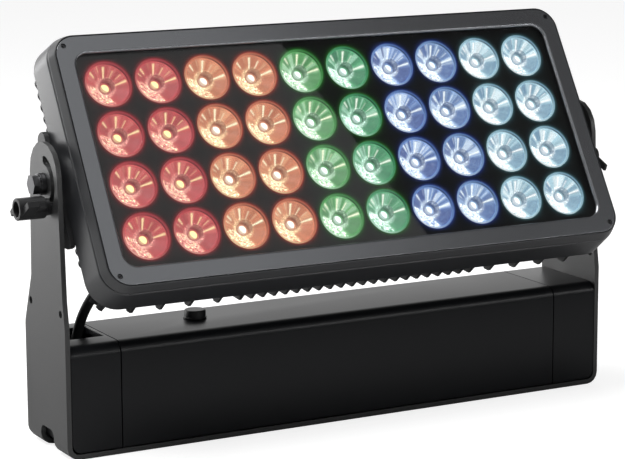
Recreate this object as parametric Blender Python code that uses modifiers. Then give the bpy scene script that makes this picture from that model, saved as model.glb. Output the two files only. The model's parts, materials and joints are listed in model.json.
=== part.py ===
"""LED wash panel: a forty-lens head that tilts in a U yoke over its driver case.

Metres, +Z up. The origin is the middle of the yoke plate's underside, the face
that stands on the floor. The light shines towards -Y, and +X is to its right.
The head is drawn in its own frame, where z is the way the light shines, y is up
along the face and the tilt axis is the x axis. An empty turns it to its rest tilt.
"""

import math

import bmesh
import bpy
from mathutils import Matrix, Vector
from mathutils.geometry import interpolate_bezier

MM = 0.001

# Clearances
SEAM = 0.3 * MM
STUD_PLAY = 0.5 * MM
WELD = 0.01 * MM
CASE_END_PLAY = 0.45 * MM
CASE_JOINT_GAP = 0.8 * MM

# Lens field
LENS_COLUMNS = 10
LENS_ROWS = 4
LENS_PITCH = 42.0 * MM
LENS_RADIUS = 18.7 * MM
LENS_BASE_RADIUS = 6.5 * MM
LENS_LAND = 3.6 * MM
LENS_PROUD = 0.3 * MM
LENS_WEB = 2.0 * MM

# Front, from the lens field outwards
WINDOW_MARGIN = 7.9 * MM
WINDOW_RADIUS = 13.0 * MM
WINDOW_CHAMFER = 2.0 * MM
BEZEL_WIDTH = 12.4 * MM
BEZEL_RADIUS = 16.6 * MM
BEZEL_THICKNESS = 2.4 * MM
BEZEL_PROUD = 0.3 * MM
BEZEL_GROOVE = 1.0 * MM
GLASS_OVERLAP = 5.4 * MM
GLASS_THICKNESS = 2.9 * MM
GASKET_WIDTH = 4.0 * MM
GASKET_THICKNESS = 0.8 * MM
MASK_THICKNESS = 1.5 * MM
BEZEL_SCREW_RADIUS = 1.9 * MM
BEZEL_SCREW_LENGTH = 9.0 * MM
BEZEL_SCREW_HEAD = 2.4 * MM
BEZEL_SCREW_SUNK = 0.9 * MM
BEZEL_SCREW_INSET_X = 7.2 * MM
BEZEL_SCREW_INSET_Y = 7.5 * MM

# Head housing, depths along the way the light shines
AXIS_TO_HOUSING_BACK = 7.0 * MM
HOUSING_FLOOR = 4.0 * MM
HOUSING_WALL = 6.0 * MM
WALL_DEPTH = 25.0 * MM
WALL_FLARE = 2.7 * MM
BAND_DEPTH = 9.0 * MM
BAND_FLARE = 3.5 * MM
LEDGE_THICKNESS = 3.5 * MM
SIDE_BOSS_RADIUS = 4.5 * MM
SIDE_BOSS_DEPTH = 1.5 * MM
SIDE_BOSS_FORWARD = 18.0 * MM

# Light engine
LED_BOARD_THICKNESS = 1.6 * MM
LED_SIZE = 7.0 * MM
LED_HEIGHT = 1.4 * MM

# Heat sink
SINK_BASE = 3.0 * MM
SINK_DEPTH = 37.0 * MM
SINK_TIP_DEPTH = 10.0 * MM
SINK_INSET = 2.4 * MM
SINK_TIP_INSET_X = 4.7 * MM
SINK_TIP_INSET_Y = 0.6 * MM
SINK_BACK_INSET = 21.0 * MM
FIN_PITCH = 10.0 * MM
FIN_THICKNESS = 2.2 * MM
MIDDLE_FINS = 22
SIDE_FINS = 20
SINK_SPLIT = 4.0 * MM
END_RIBS = 5
END_RIB_FIRST = 13.0 * MM
END_RIB_PITCH = 24.5 * MM
END_RIB_LENGTH = 15.0 * MM
GLAND_PAD_SUNK = 0.5 * MM

# Tilt pivots and locks
REST_TILT = math.radians(31.4)
TILT_MIN = math.radians(-10.0)
TILT_MAX = math.radians(170.0)
BRACKET_THICKNESS = 4.1 * MM
BRACKET_UP = 41.0 * MM
BRACKET_DOWN = 56.0 * MM
BRACKET_BACK = 6.5 * MM
BRACKET_FRONT = 8.8 * MM
BRACKET_HEEL = 12.0 * MM
DISC_RADIUS = 13.0 * MM
DISC_THICKNESS = 1.45 * MM
BOLT_RADIUS = 5.0 * MM
BOLT_FLANGE_RADIUS = 7.9 * MM
BOLT_FLANGE = 0.7 * MM
BOLT_HEAD_FLATS = 13.8 * MM
BOLT_HEAD_HEIGHT = 5.0 * MM
WASHER_RADIUS = 8.6 * MM
WASHER_THICKNESS = 4.0 * MM
THIN_WASHER = 1.3 * MM
SLOT_RADIUS = 18.8 * MM
STUD_RADIUS = 2.9 * MM
STUD_HELD = 9.0 * MM
KNOB_FLANGE_RADIUS = 6.6 * MM
KNOB_FLANGE = 4.0 * MM
KNOB_WALL = 2.6 * MM
KNOB_SOCKET_DEPTH = 5.0 * MM
KNOB_LENGTH = 22.0 * MM
KNOB_HUB = 8.6 * MM
KNOB_WING = 18.9 * MM
KNOB_WING_SIDES = (7.8 * MM, 6.4 * MM, 1.8 * MM)
KNOB_WING_LENGTH = 9.7 * MM
KNOB_WING_SUNK = 2.4 * MM
SHORT_KNOB_LENGTH = 7.5 * MM
SHORT_KNOB_HUB = 6.9 * MM
SHORT_KNOB_WING = 21.5 * MM
SHORT_KNOB_WING_SIDES = (2.7 * MM, 2.7 * MM, -2.7 * MM)
SHORT_KNOB_WING_LENGTH = 2.4 * MM
SHORT_KNOB_WING_SUNK = 1.3 * MM
LEFT_KNOB_TURN = math.radians(90)
RIGHT_KNOB_TURN = REST_TILT + math.radians(-67)

# Yoke
YOKE_THICKNESS = 4.0 * MM
YOKE_BEND = 10.0 * MM
YOKE_DEPTH = 80.2 * MM
PIVOT_HEIGHT = 209.8 * MM
PIVOT_FORWARD = 4.5 * MM
ARM_TOP = 31.9 * MM
ARM_HALF = 26.0 * MM
ARM_NECK_FRONT = 32.1 * MM
ARM_NECK_BACK = 29.7 * MM
ARM_NECK_FRONT_HEIGHT = 124.0 * MM
ARM_NECK_BACK_HEIGHT = 134.0 * MM
SHOULDER_FRONT_HEIGHT = 102.0 * MM
SHOULDER_BACK_HEIGHT = 95.0 * MM
SHOULDER_FILLET = 14.0 * MM
FOOT_CORNER = 12.0 * MM
ARM_HOLE_RADIUS = 3.0 * MM
ARM_HOLE_SPREAD = 29.7 * MM
ARM_HOLE_FORWARD = 2.5 * MM
ARM_HOLE_HEIGHT = 113.5 * MM
BEND_SLOT_HALF = 13.0 * MM
BEND_SLOT_HEIGHT = 17.5 * MM
BEND_SLOT_INWARD = 17.0 * MM
BEND_SLOT_RADIUS = 6.0 * MM

# Driver case
CASE_HEIGHT = 84.2 * MM
CASE_WALL = 3.0 * MM
CASE_FRONT_RADIUS = 9.5 * MM
CASE_BACK_RADIUS = 3.4 * MM
CASE_FOOT_RADIUS = 2.0 * MM
CASE_CAP_LENGTH = 41.2 * MM
CASE_CAP_CORNER = 8.5 * MM
WELL_HALF = 18.25 * MM
WELL_BACKWARD = 3.75 * MM
WELL_DEPTH = 45.5 * MM
WELL_WALL = 2.5 * MM
CASE_SCREW_RADIUS = 3.0 * MM
CASE_SCREW_LENGTH = 11.0 * MM
CASE_SCREW_SUNK = 0.4 * MM
CASE_SCREW_HEAD = 2.8 * MM
CASE_SCREW_SPREAD_X = 150.0 * MM
CASE_SCREW_SPREAD_Y = 25.0 * MM
VENT_RADIUS = 9.4 * MM
VENT_HEIGHT = 7.0 * MM
VENT_FLANGE = 1.4 * MM
VENT_NECK_RADIUS = 5.8 * MM
VENT_X = -114.5 * MM
VENT_Y = 6.0 * MM

# Cable glands and the tilt cable
GLAND_FLATS = 15.0 * MM
GLAND_HEX = 6.0 * MM
GLAND_DOME = 11.0 * MM
GLAND_MOUTH_RADIUS = 5.6 * MM
GLAND_BORE = 6.0 * MM
HEAD_GLAND_INSET = 22.2 * MM
HEAD_GLAND_DOWN = 82.0 * MM
HEAD_GLAND_ROOM = 13.0 * MM
CASE_GLAND_INSET = 23.2 * MM
CASE_GLAND_Y = 8.0 * MM
CABLE_RADIUS = 4.0 * MM
CABLE_LEAVING_SHARE = 0.62
CABLE_ENTERING_SHARE = 0.27

# Back of the case
PANEL_HALF_X = 62.0 * MM
PANEL_HALF_Z = 24.0 * MM
PANEL_THICKNESS = 2.4 * MM
PANEL_RADIUS = 4.0 * MM
DISPLAY_HALF_X = 22.0 * MM
DISPLAY_HALF_Z = 9.0 * MM
DISPLAY_X = 28.0 * MM
DISPLAY_THICKNESS = 2.0 * MM
BUTTON_COUNT = 4
BUTTON_RADIUS = 4.0 * MM
BUTTON_PITCH = 14.0 * MM
BUTTON_FIRST_X = -8.0 * MM
BUTTON_PROUD = 1.6 * MM
BUTTON_TRAVEL = 0.8 * MM
BUTTON_LENGTH = 5.0 * MM
SOCKET_INSET = 49.2 * MM
SOCKET_PITCH = 40.0 * MM
SOCKET_NAMES = ("power_inlet", "power_outlet", "data_inlet", "data_outlet")
SOCKET_RADIUS = 11.5 * MM
SOCKET_FLANGE_HALF_X = 13.0 * MM
SOCKET_FLANGE_HALF_Z = 15.5 * MM
SOCKET_FLANGE = 2.0 * MM
SOCKET_PROUD = 14.0 * MM
SOCKET_SHANK = 12.0 * MM
SOCKET_BORE = 9.2 * MM
SOCKET_BORE_DEPTH = 10.5 * MM
BOARD_THICKNESS = 1.6 * MM
BOARD_POST_RADIUS = 3.0 * MM
SUPPLY_HALF_X = 105.0 * MM
SUPPLY_HALF_Y = 22.0 * MM
SUPPLY_FORWARD = 10.0 * MM
SUPPLY_HEIGHT = 42.0 * MM

# Facets
CORNER_STEPS = 4
ROUND_STEPS = 16
LENS_STEPS = 12
SLOT_STEPS = 18
CABLE_STEPS = 28

# Head sizes that follow from the ones above
LENS_FIELD_X = (LENS_COLUMNS - 1) * LENS_PITCH / 2 + LENS_RADIUS
LENS_FIELD_Y = (LENS_ROWS - 1) * LENS_PITCH / 2 + LENS_RADIUS
WINDOW_X = LENS_FIELD_X + WINDOW_MARGIN
WINDOW_Y = LENS_FIELD_Y + WINDOW_MARGIN
BEZEL_X = WINDOW_X + BEZEL_WIDTH
BEZEL_Y = WINDOW_Y + BEZEL_WIDTH
RIDGE_X = BEZEL_X + BEZEL_GROOVE
RIDGE_Y = BEZEL_Y + BEZEL_GROOVE
PARTING_X = RIDGE_X + BAND_FLARE
PARTING_Y = RIDGE_Y + BAND_FLARE
HOUSING_X = PARTING_X + WALL_FLARE
HOUSING_Y = PARTING_Y + WALL_FLARE
HOUSING_BACK_Z = AXIS_TO_HOUSING_BACK
HOUSING_INSIDE_Z = HOUSING_BACK_Z + HOUSING_FLOOR
PARTING_Z = HOUSING_BACK_Z + WALL_DEPTH
RIDGE_Z = PARTING_Z + BAND_DEPTH
FACE_Z = RIDGE_Z + BEZEL_PROUD
BEZEL_BACK_Z = FACE_Z - BEZEL_THICKNESS
GLASS_FRONT_Z = BEZEL_BACK_Z - SEAM
GLASS_BACK_Z = GLASS_FRONT_Z - GLASS_THICKNESS
GASKET_FRONT_Z = GLASS_BACK_Z - SEAM
GASKET_BACK_Z = GASKET_FRONT_Z - GASKET_THICKNESS
MASK_FRONT_Z = GASKET_BACK_Z - SEAM
MASK_BACK_Z = MASK_FRONT_Z - MASK_THICKNESS
LEDGE_Z = MASK_BACK_Z - SEAM
GLASS_X = WINDOW_X + GLASS_OVERLAP
GLASS_Y = WINDOW_Y + GLASS_OVERLAP
GLASS_RADIUS = WINDOW_RADIUS + GLASS_OVERLAP
LED_BOARD_Z = HOUSING_INSIDE_Z + SEAM
LED_FRONT_Z = LED_BOARD_Z + LED_BOARD_THICKNESS + LED_HEIGHT
LENS_BACK_Z = LED_FRONT_Z + SEAM
LENS_FRONT_Z = MASK_FRONT_Z + LENS_PROUD
WEB_FRONT_Z = MASK_BACK_Z - SEAM
SINK_FRONT_Z = HOUSING_BACK_Z - SEAM
SINK_FLOOR_Z = SINK_FRONT_Z - SINK_BASE
GLAND_PAD_Z = SINK_FLOOR_Z + GLAND_PAD_SUNK
HEAD_GLAND_X = HEAD_GLAND_INSET - HOUSING_X

# Yoke and case sizes that follow from the head
BRACKET_X = HOUSING_X + SEAM
BRACKET_FACE_X = BRACKET_X + BRACKET_THICKNESS
DISC_X = BRACKET_FACE_X + SEAM
YOKE_INSIDE_X = DISC_X + DISC_THICKNESS + SEAM
YOKE_OUTSIDE_X = YOKE_INSIDE_X + YOKE_THICKNESS
WASHER_X = YOKE_OUTSIDE_X + SEAM
KNOB_X = YOKE_OUTSIDE_X + SEAM
SLOT_HALF_WIDTH = STUD_RADIUS + STUD_PLAY
CASE_HALF_X = YOKE_INSIDE_X - CASE_END_PLAY
CASE_CAP_X = CASE_HALF_X - CASE_CAP_LENGTH
CASE_BODY_X = CASE_CAP_X - CASE_JOINT_GAP
CASE_HALF_Y = YOKE_DEPTH / 2
CASE_BOTTOM_Z = YOKE_THICKNESS + SEAM
CASE_TOP_Z = CASE_BOTTOM_Z + CASE_HEIGHT
CASE_FLOOR_Z = CASE_BOTTOM_Z + CASE_WALL
WELL_FLOOR_Z = CASE_TOP_Z - WELL_DEPTH
PANEL_Z = (CASE_BOTTOM_Z + CASE_TOP_Z) / 2
CAP_WALL_X = CASE_HALF_X - CASE_WALL
CASE_GLAND_X = CASE_GLAND_INSET - CASE_HALF_X
SOCKET_OUTER_X = CASE_BODY_X - SOCKET_INSET
SOCKET_INNER_X = SOCKET_OUTER_X - SOCKET_PITCH
SOCKET_X = (SOCKET_INNER_X, SOCKET_OUTER_X, -SOCKET_INNER_X, -SOCKET_OUTER_X)

PAINT = ("charcoal_paint", (0.055, 0.058, 0.062), 0.5, 0.0)
YOKE_PAINT = ("yoke_paint", (0.07, 0.072, 0.075), 0.45, 0.0)
BLACK_PLASTIC = ("black_plastic", (0.015, 0.015, 0.016), 0.5, 0.0)
RUBBER = ("black_rubber", (0.012, 0.012, 0.012), 0.7, 0.0)
STEEL = ("black_zinc_steel", (0.10, 0.10, 0.105), 0.35, 1.0)
ALUMINIUM = ("cast_aluminium", (0.05, 0.05, 0.052), 0.55, 0.2)
GLASS = ("clear_glass", (0.9, 0.93, 0.94), 0.02, 0.0)
LENS = ("lens_acrylic", (0.85, 0.88, 0.9), 0.1, 0.0)
BOARD = ("circuit_board", (0.03, 0.12, 0.06), 0.5, 0.0)
LED_BOARD = ("led_board_white", (0.7, 0.7, 0.68), 0.5, 0.0)
SCREEN = ("display_screen", (0.02, 0.03, 0.05), 0.08, 0.0)

for old in list(bpy.data.objects):
    bpy.data.objects.remove(old)

parts = bpy.data.collections.new("led_wash_panel")
cutters = bpy.data.collections.new("cutters")
bpy.context.scene.collection.children.link(parts)
bpy.context.scene.collection.children.link(cutters)

head_axis = bpy.data.objects.new("head_axis", None)
head_axis.location = (0, -PIVOT_FORWARD, PIVOT_HEIGHT)
head_axis.rotation_euler = (math.pi / 2 - REST_TILT, 0, 0)
parts.objects.link(head_axis)


def material(look):
    """Principled material from a name, colour, roughness and metallic value."""
    name, colour, roughness, metallic = look
    found = bpy.data.materials.get(name)
    if found:
        return found
    made = bpy.data.materials.new(name)
    made.use_nodes = True
    shader = made.node_tree.nodes["Principled BSDF"]
    shader.inputs["Base Color"].default_value = (*colour, 1)
    shader.inputs["Roughness"].default_value = roughness
    shader.inputs["Metallic"].default_value = metallic
    return made


def add_part(name, mesh, look, parent=None, smooth=True):
    """Object for one sub-part, in its own material."""
    mesh.name = name
    mesh.materials.clear()
    mesh.materials.append(material(look))
    part = bpy.data.objects.new(name, mesh)
    part.parent = parent
    parts.objects.link(part)
    if smooth:
        mesh.shade_smooth()
        mesh.set_sharp_from_angle(angle=math.radians(35))
    return part


def add_cutter(name, mesh, parent=None):
    """Hidden object that only cuts or joins another one."""
    cutter = bpy.data.objects.new(name, mesh)
    cutter.parent = parent
    cutter.hide_render = True
    cutter.display_type = "WIRE"
    cutters.objects.link(cutter)
    return cutter


def combine(part, operation, mesh, label):
    """Boolean of a part with a mesh given in the part's own frame."""
    cutter = add_cutter(f"{part.name}_{label}", mesh, part)
    modifier = part.modifiers.new(label, "BOOLEAN")
    modifier.operation = operation
    modifier.solver = "EXACT"
    modifier.object = cutter


def baked(thing):
    """Welded mesh of an object as its modifiers leave it; the object goes."""
    bpy.context.view_layer.update()
    evaluated = thing.evaluated_get(bpy.context.evaluated_depsgraph_get())
    mesh = bpy.data.meshes.new_from_object(evaluated)
    mesh.transform(thing.matrix_world)
    bpy.data.objects.remove(thing)
    work = bmesh.new()
    work.from_mesh(mesh)
    bmesh.ops.remove_doubles(work, verts=work.verts, dist=WELD)
    bmesh.ops.recalc_face_normals(work, faces=work.faces)
    work.to_mesh(mesh)
    work.free()
    return mesh


def joined(meshes):
    """One mesh that holds all the given ones."""
    work = bmesh.new()
    for mesh in meshes:
        work.from_mesh(mesh)
    result = bpy.data.meshes.new("joined")
    work.to_mesh(result)
    work.free()
    return result


def moved(mesh, matrix):
    """Copy of a mesh under a matrix."""
    copy = mesh.copy()
    copy.transform(matrix)
    return copy


def shift(x=0.0, y=0.0, z=0.0):
    """Translation matrix."""
    return Matrix.Translation((x, y, z))


ALONG_X = Matrix(((0, 0, 1, 0), (1, 0, 0, 0), (0, 1, 0, 0), (0, 0, 0, 1)))
ALONG_Y = Matrix(((0, 1, 0, 0), (0, 0, 1, 0), (1, 0, 0, 0), (0, 0, 0, 1)))


def prism(outlines, low, high, turn=Matrix.Identity(4)):
    """Flat outline with holes, from low to high along its normal.

    turn carries the outline's plane: ALONG_X reads the points as (y, z) and
    extrudes along x, ALONG_Y reads them as (z, x) and extrudes along y.
    """
    data = bpy.data.curves.new("outline", "CURVE")
    data.dimensions = "2D"
    data.fill_mode = "BOTH"
    data.extrude = (high - low) / 2
    for outline in outlines:
        spline = data.splines.new("POLY")
        spline.points.add(len(outline) - 1)
        spline.use_cyclic_u = True
        for point, (a, b) in zip(spline.points, outline):
            point.co = (a, b, 0, 1)
    thing = bpy.data.objects.new("outline", data)
    cutters.objects.link(thing)
    mesh = baked(thing)
    mesh.transform(turn @ shift(z=(low + high) / 2))
    return mesh


def turned(profile, steps=ROUND_STEPS):
    """Solid of revolution about z from (radius, height) points, top to bottom."""
    mesh = bpy.data.meshes.new("profile")
    edges = [(i, i + 1) for i in range(len(profile) - 1)]
    mesh.from_pydata([(radius, 0, height) for radius, height in profile], edges, [])
    thing = bpy.data.objects.new("profile", mesh)
    cutters.objects.link(thing)
    screw = thing.modifiers.new("turn", "SCREW")
    screw.steps = steps
    screw.render_steps = steps
    screw.use_merge_vertices = True
    screw.merge_threshold = WELD
    return baked(thing)


def cylinder(radius, low, high, steps=ROUND_STEPS):
    """Round bar about z."""
    return turned([(0, high), (radius, high), (radius, low), (0, low)], steps)


def block(low, high):
    """Box from its lowest to its highest corner."""
    work = bmesh.new()
    bmesh.ops.create_cube(work, size=1)
    size = Vector(high) - Vector(low)
    bmesh.ops.scale(work, vec=size, verts=work.verts)
    bmesh.ops.translate(work, vec=Vector(low) + size / 2, verts=work.verts)
    mesh = bpy.data.meshes.new("block")
    work.to_mesh(mesh)
    work.free()
    return mesh


def arc(centre, radius, start, end, steps):
    """Points along a circle from one angle to another, both ends in."""
    turns = [start + (end - start) * i / steps for i in range(steps + 1)]
    return [(centre[0] + radius * math.cos(t), centre[1] + radius * math.sin(t)) for t in turns]


def ring(centre, radius, steps=ROUND_STEPS):
    """Closed circle."""
    return arc(centre, radius, 0, 2 * math.pi, steps)[:-1]


def filleted(corners, steps=CORNER_STEPS):
    """Closed outline through (a, b, fillet radius) corners, with arcs in place of corners."""
    points = []
    for i, (a, b, radius) in enumerate(corners):
        here = Vector((a, b))
        if radius <= 0:
            points.append((a, b))
            continue
        before = (Vector(corners[i - 1][:2]) - here).normalized()
        after = (Vector(corners[(i + 1) % len(corners)][:2]) - here).normalized()
        half = before.angle(after) / 2
        centre = here + (before + after).normalized() * radius / math.sin(half)
        first = here + before * radius / math.tan(half) - centre
        last = here + after * radius / math.tan(half) - centre
        start = math.atan2(first.y, first.x)
        sweep = math.atan2(first.x * last.y - first.y * last.x, first.dot(last))
        points += arc(centre, radius, start, start + sweep, steps)
    return points


def rounded(half_a, half_b, radius):
    """Rectangle about the origin with round corners."""
    return filleted(
        [
            (half_a, -half_b, radius),
            (half_a, half_b, radius),
            (-half_a, half_b, radius),
            (-half_a, -half_b, radius),
        ]
    )


def loft(sections):
    """Closed skin through rounded rectangles (half x, half y, corner radius, height)."""
    work = bmesh.new()
    rings = []
    for half_x, half_y, radius, height in sections:
        rings.append([work.verts.new((x, y, height)) for x, y in rounded(half_x, half_y, radius)])
    for lower, upper in zip(rings, rings[1:]):
        for i in range(len(lower)):
            work.faces.new((lower[i - 1], lower[i], upper[i], upper[i - 1]))
    work.faces.new(rings[0][::-1])
    work.faces.new(rings[-1])
    bmesh.ops.recalc_face_normals(work, faces=work.faces)
    mesh = bpy.data.meshes.new("loft")
    work.to_mesh(mesh)
    work.free()
    return mesh


def lens_places():
    """Centres of all lenses on the face, column by column."""
    for column in range(LENS_COLUMNS):
        x = (column - (LENS_COLUMNS - 1) / 2) * LENS_PITCH
        for row in range(LENS_ROWS):
            yield column, x, (row - (LENS_ROWS - 1) / 2) * LENS_PITCH


def screw_places():
    """Centres of the four bezel screws."""
    x = BEZEL_X - BEZEL_SCREW_INSET_X
    y = BEZEL_Y - BEZEL_SCREW_INSET_Y
    return [(x * i, y * j) for i, j in ((-1, 1), (1, 1), (1, -1), (-1, -1))]


def head_housing():
    """Cast tub: sloped band, flared side wall, floor, and a ledge for the glass stack.

    One skin runs from the rear face over the outside and the front ridge, then
    down the seats of the bezel and the glass into the cavity, to its floor.
    """
    ridge_radius = BEZEL_RADIUS + BEZEL_GROOVE
    parting_radius = ridge_radius + BAND_FLARE
    below_ledge = LEDGE_Z - LEDGE_THICKNESS
    seat_z = BEZEL_BACK_Z - SEAM
    cavity = (PARTING_X - HOUSING_WALL, PARTING_Y - HOUSING_WALL, WINDOW_RADIUS)
    glass = (GLASS_X + SEAM, GLASS_Y + SEAM, GLASS_RADIUS + SEAM)
    seat = (RIDGE_X - SEAM, RIDGE_Y - SEAM, ridge_radius - SEAM)
    skin = loft(
        [
            (HOUSING_X, HOUSING_Y, parting_radius + WALL_FLARE, HOUSING_BACK_Z),
            (PARTING_X, PARTING_Y, parting_radius, PARTING_Z),
            (RIDGE_X + SEAM, RIDGE_Y + SEAM, ridge_radius + SEAM, RIDGE_Z),
            (*seat, RIDGE_Z),
            (*seat, seat_z),
            (*glass, seat_z),
            (*glass, LEDGE_Z),
            (WINDOW_X, WINDOW_Y, WINDOW_RADIUS, LEDGE_Z),
            (WINDOW_X, WINDOW_Y, WINDOW_RADIUS, below_ledge),
            (*cavity, below_ledge),
            (*cavity, HOUSING_INSIDE_Z),
        ]
    )
    housing = add_part("head_housing", skin, PAINT, head_axis)
    hole = cylinder(BEZEL_SCREW_RADIUS + SEAM, screw_bottom() - SEAM, RIDGE_Z, 12)
    holes = joined([moved(hole, shift(x, y)) for x, y in screw_places()])
    combine(housing, "DIFFERENCE", holes, "screw_holes")
    recess = cylinder(SIDE_BOSS_RADIUS, PARTING_X - SIDE_BOSS_DEPTH, HOUSING_X + SEAM, 16)
    recess.transform(
        shift(z=HOUSING_BACK_Z + SIDE_BOSS_FORWARD) @ Matrix.Rotation(-math.pi / 2, 4, "Y")
    )
    combine(housing, "DIFFERENCE", recess, "side_recess")


def screw_bottom():
    """Height of a bezel screw's tip."""
    return FACE_Z - BEZEL_SCREW_SUNK - BEZEL_SCREW_LENGTH


def front_bezel():
    """Flat frame over the glass, chamfered towards the window and held by four screws."""
    holes = [ring(place, BEZEL_SCREW_RADIUS + SEAM, 12) for place in screw_places()]
    outer = rounded(BEZEL_X, BEZEL_Y, BEZEL_RADIUS)
    bezel = add_part(
        "front_bezel", prism([outer] + holes, BEZEL_BACK_Z, FACE_Z), PAINT, head_axis
    )
    foot = (WINDOW_X - WINDOW_CHAMFER, WINDOW_Y - WINDOW_CHAMFER, WINDOW_RADIUS - WINDOW_CHAMFER)
    window = loft(
        [
            (*foot, BEZEL_BACK_Z - SEAM),
            (*foot, FACE_Z - WINDOW_CHAMFER),
            (WINDOW_X + SEAM, WINDOW_Y + SEAM, WINDOW_RADIUS + SEAM, FACE_Z + SEAM),
        ]
    )
    combine(bezel, "DIFFERENCE", window, "window")


def cap_screw(head, shank, head_depth, top, bottom):
    """Screw about z with a flat head, a sunk socket in it and a plain shank."""
    return turned(
        [
            (0, top - head_depth / 2),
            (head / 2, top - head_depth / 2),
            (head / 2, top),
            (head, top),
            (head, top - head_depth),
            (shank, top - head_depth),
            (shank, bottom),
            (0, bottom),
        ],
        12,
    )


def bezel_screws():
    """Four socket screws, set a little below the bezel's face."""
    top = FACE_Z - BEZEL_SCREW_SUNK
    for number, (x, y) in enumerate(screw_places(), 1):
        bar = cap_screw(
            BEZEL_SCREW_RADIUS, BEZEL_SCREW_RADIUS * 0.7, BEZEL_SCREW_HEAD, top, screw_bottom()
        )
        screw = add_part(f"bezel_screw_{number}", bar, STEEL, head_axis)
        screw.location = (x, y, 0)


def glass_stack():
    """Front glass, the gasket behind it and the black mask with one hole a lens."""
    pane = rounded(GLASS_X, GLASS_Y, GLASS_RADIUS)
    add_part("front_glass", prism([pane], GLASS_BACK_Z, GLASS_FRONT_Z), GLASS, head_axis)
    opening = rounded(GLASS_X - GASKET_WIDTH, GLASS_Y - GASKET_WIDTH, GLASS_RADIUS - GASKET_WIDTH)
    gasket = prism([pane, opening], GASKET_BACK_Z, GASKET_FRONT_Z)
    add_part("glass_gasket", gasket, RUBBER, head_axis)
    holes = [ring((x, y), LENS_RADIUS + SEAM, LENS_STEPS) for _, x, y in lens_places()]
    mask = prism([pane] + holes, MASK_BACK_Z, MASK_FRONT_Z)
    add_part("lens_mask", mask, BLACK_PLASTIC, head_axis)


def lens_columns():
    """One moulding a column: four flared lenses on a flat web behind the mask."""
    land = LENS_FRONT_Z - LENS_LAND
    lens = turned(
        [
            (0, LENS_FRONT_Z),
            (LENS_RADIUS, LENS_FRONT_Z),
            (LENS_RADIUS, land),
            (LENS_BASE_RADIUS, LENS_BACK_Z),
            (0, LENS_BACK_Z),
        ],
        LENS_STEPS,
    )
    half_x = LENS_PITCH / 2 - SEAM / 2
    half_y = LENS_FIELD_Y + LENS_WEB
    web_outline = rounded(half_x, half_y, LENS_WEB)
    for column in range(LENS_COLUMNS):
        places = [(x, y) for index, x, y in lens_places() if index == column]
        web = prism([web_outline], WEB_FRONT_Z - LENS_WEB, WEB_FRONT_Z)
        web.transform(shift(places[0][0]))
        strip = add_part(f"lens_column_{column + 1}", web, LENS, head_axis)
        cups = joined([moved(lens, shift(x, y)) for x, y in places])
        combine(strip, "UNION", cups, "lenses")


def led_board():
    """Metal-core board on the housing floor with one emitter behind each lens."""
    low = LED_BOARD_Z
    top = low + LED_BOARD_THICKNESS
    outline = rounded(LENS_FIELD_X, LENS_FIELD_Y, WINDOW_MARGIN)
    board = add_part("led_board", prism([outline], low, top), LED_BOARD, head_axis)
    half = LED_SIZE / 2
    chip = block((-half, -half, top - LED_BOARD_THICKNESS / 2), (half, half, LED_FRONT_Z))
    chips = joined([moved(chip, shift(x, y)) for _, x, y in lens_places()])
    combine(board, "UNION", chips, "emitters")


def sink_envelope():
    """Rounded block that the fin ends are trimmed to: sloped ends, then straight sides."""
    corner = BEZEL_RADIUS + BEZEL_GROOVE + BAND_FLARE
    insets = [
        (SINK_BACK_INSET, SINK_BACK_INSET, corner / 2, SINK_FLOOR_Z - SINK_DEPTH),
        (SINK_TIP_INSET_X, SINK_TIP_INSET_Y, corner, SINK_FLOOR_Z - SINK_TIP_DEPTH),
        (SINK_INSET, SINK_INSET, corner, SINK_FRONT_Z),
    ]
    return loft([(HOUSING_X - inset_x, HOUSING_Y - inset_y, r, z) for inset_x, inset_y, r, z in insets])


def sink_casting(name, low_x, high_x, fins):
    """Base plate between two x values with fins standing on it, trimmed to the envelope."""
    base = block((low_x, -HOUSING_Y, SINK_FLOOR_Z), (high_x, HOUSING_Y, SINK_FRONT_Z + SINK_BASE))
    part = add_part(name, base, ALUMINIUM, head_axis, smooth=False)
    for label, group in fins:
        combine(part, "UNION", joined(group), label)
    combine(part, "INTERSECT", sink_envelope(), "trim")
    return part


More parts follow.
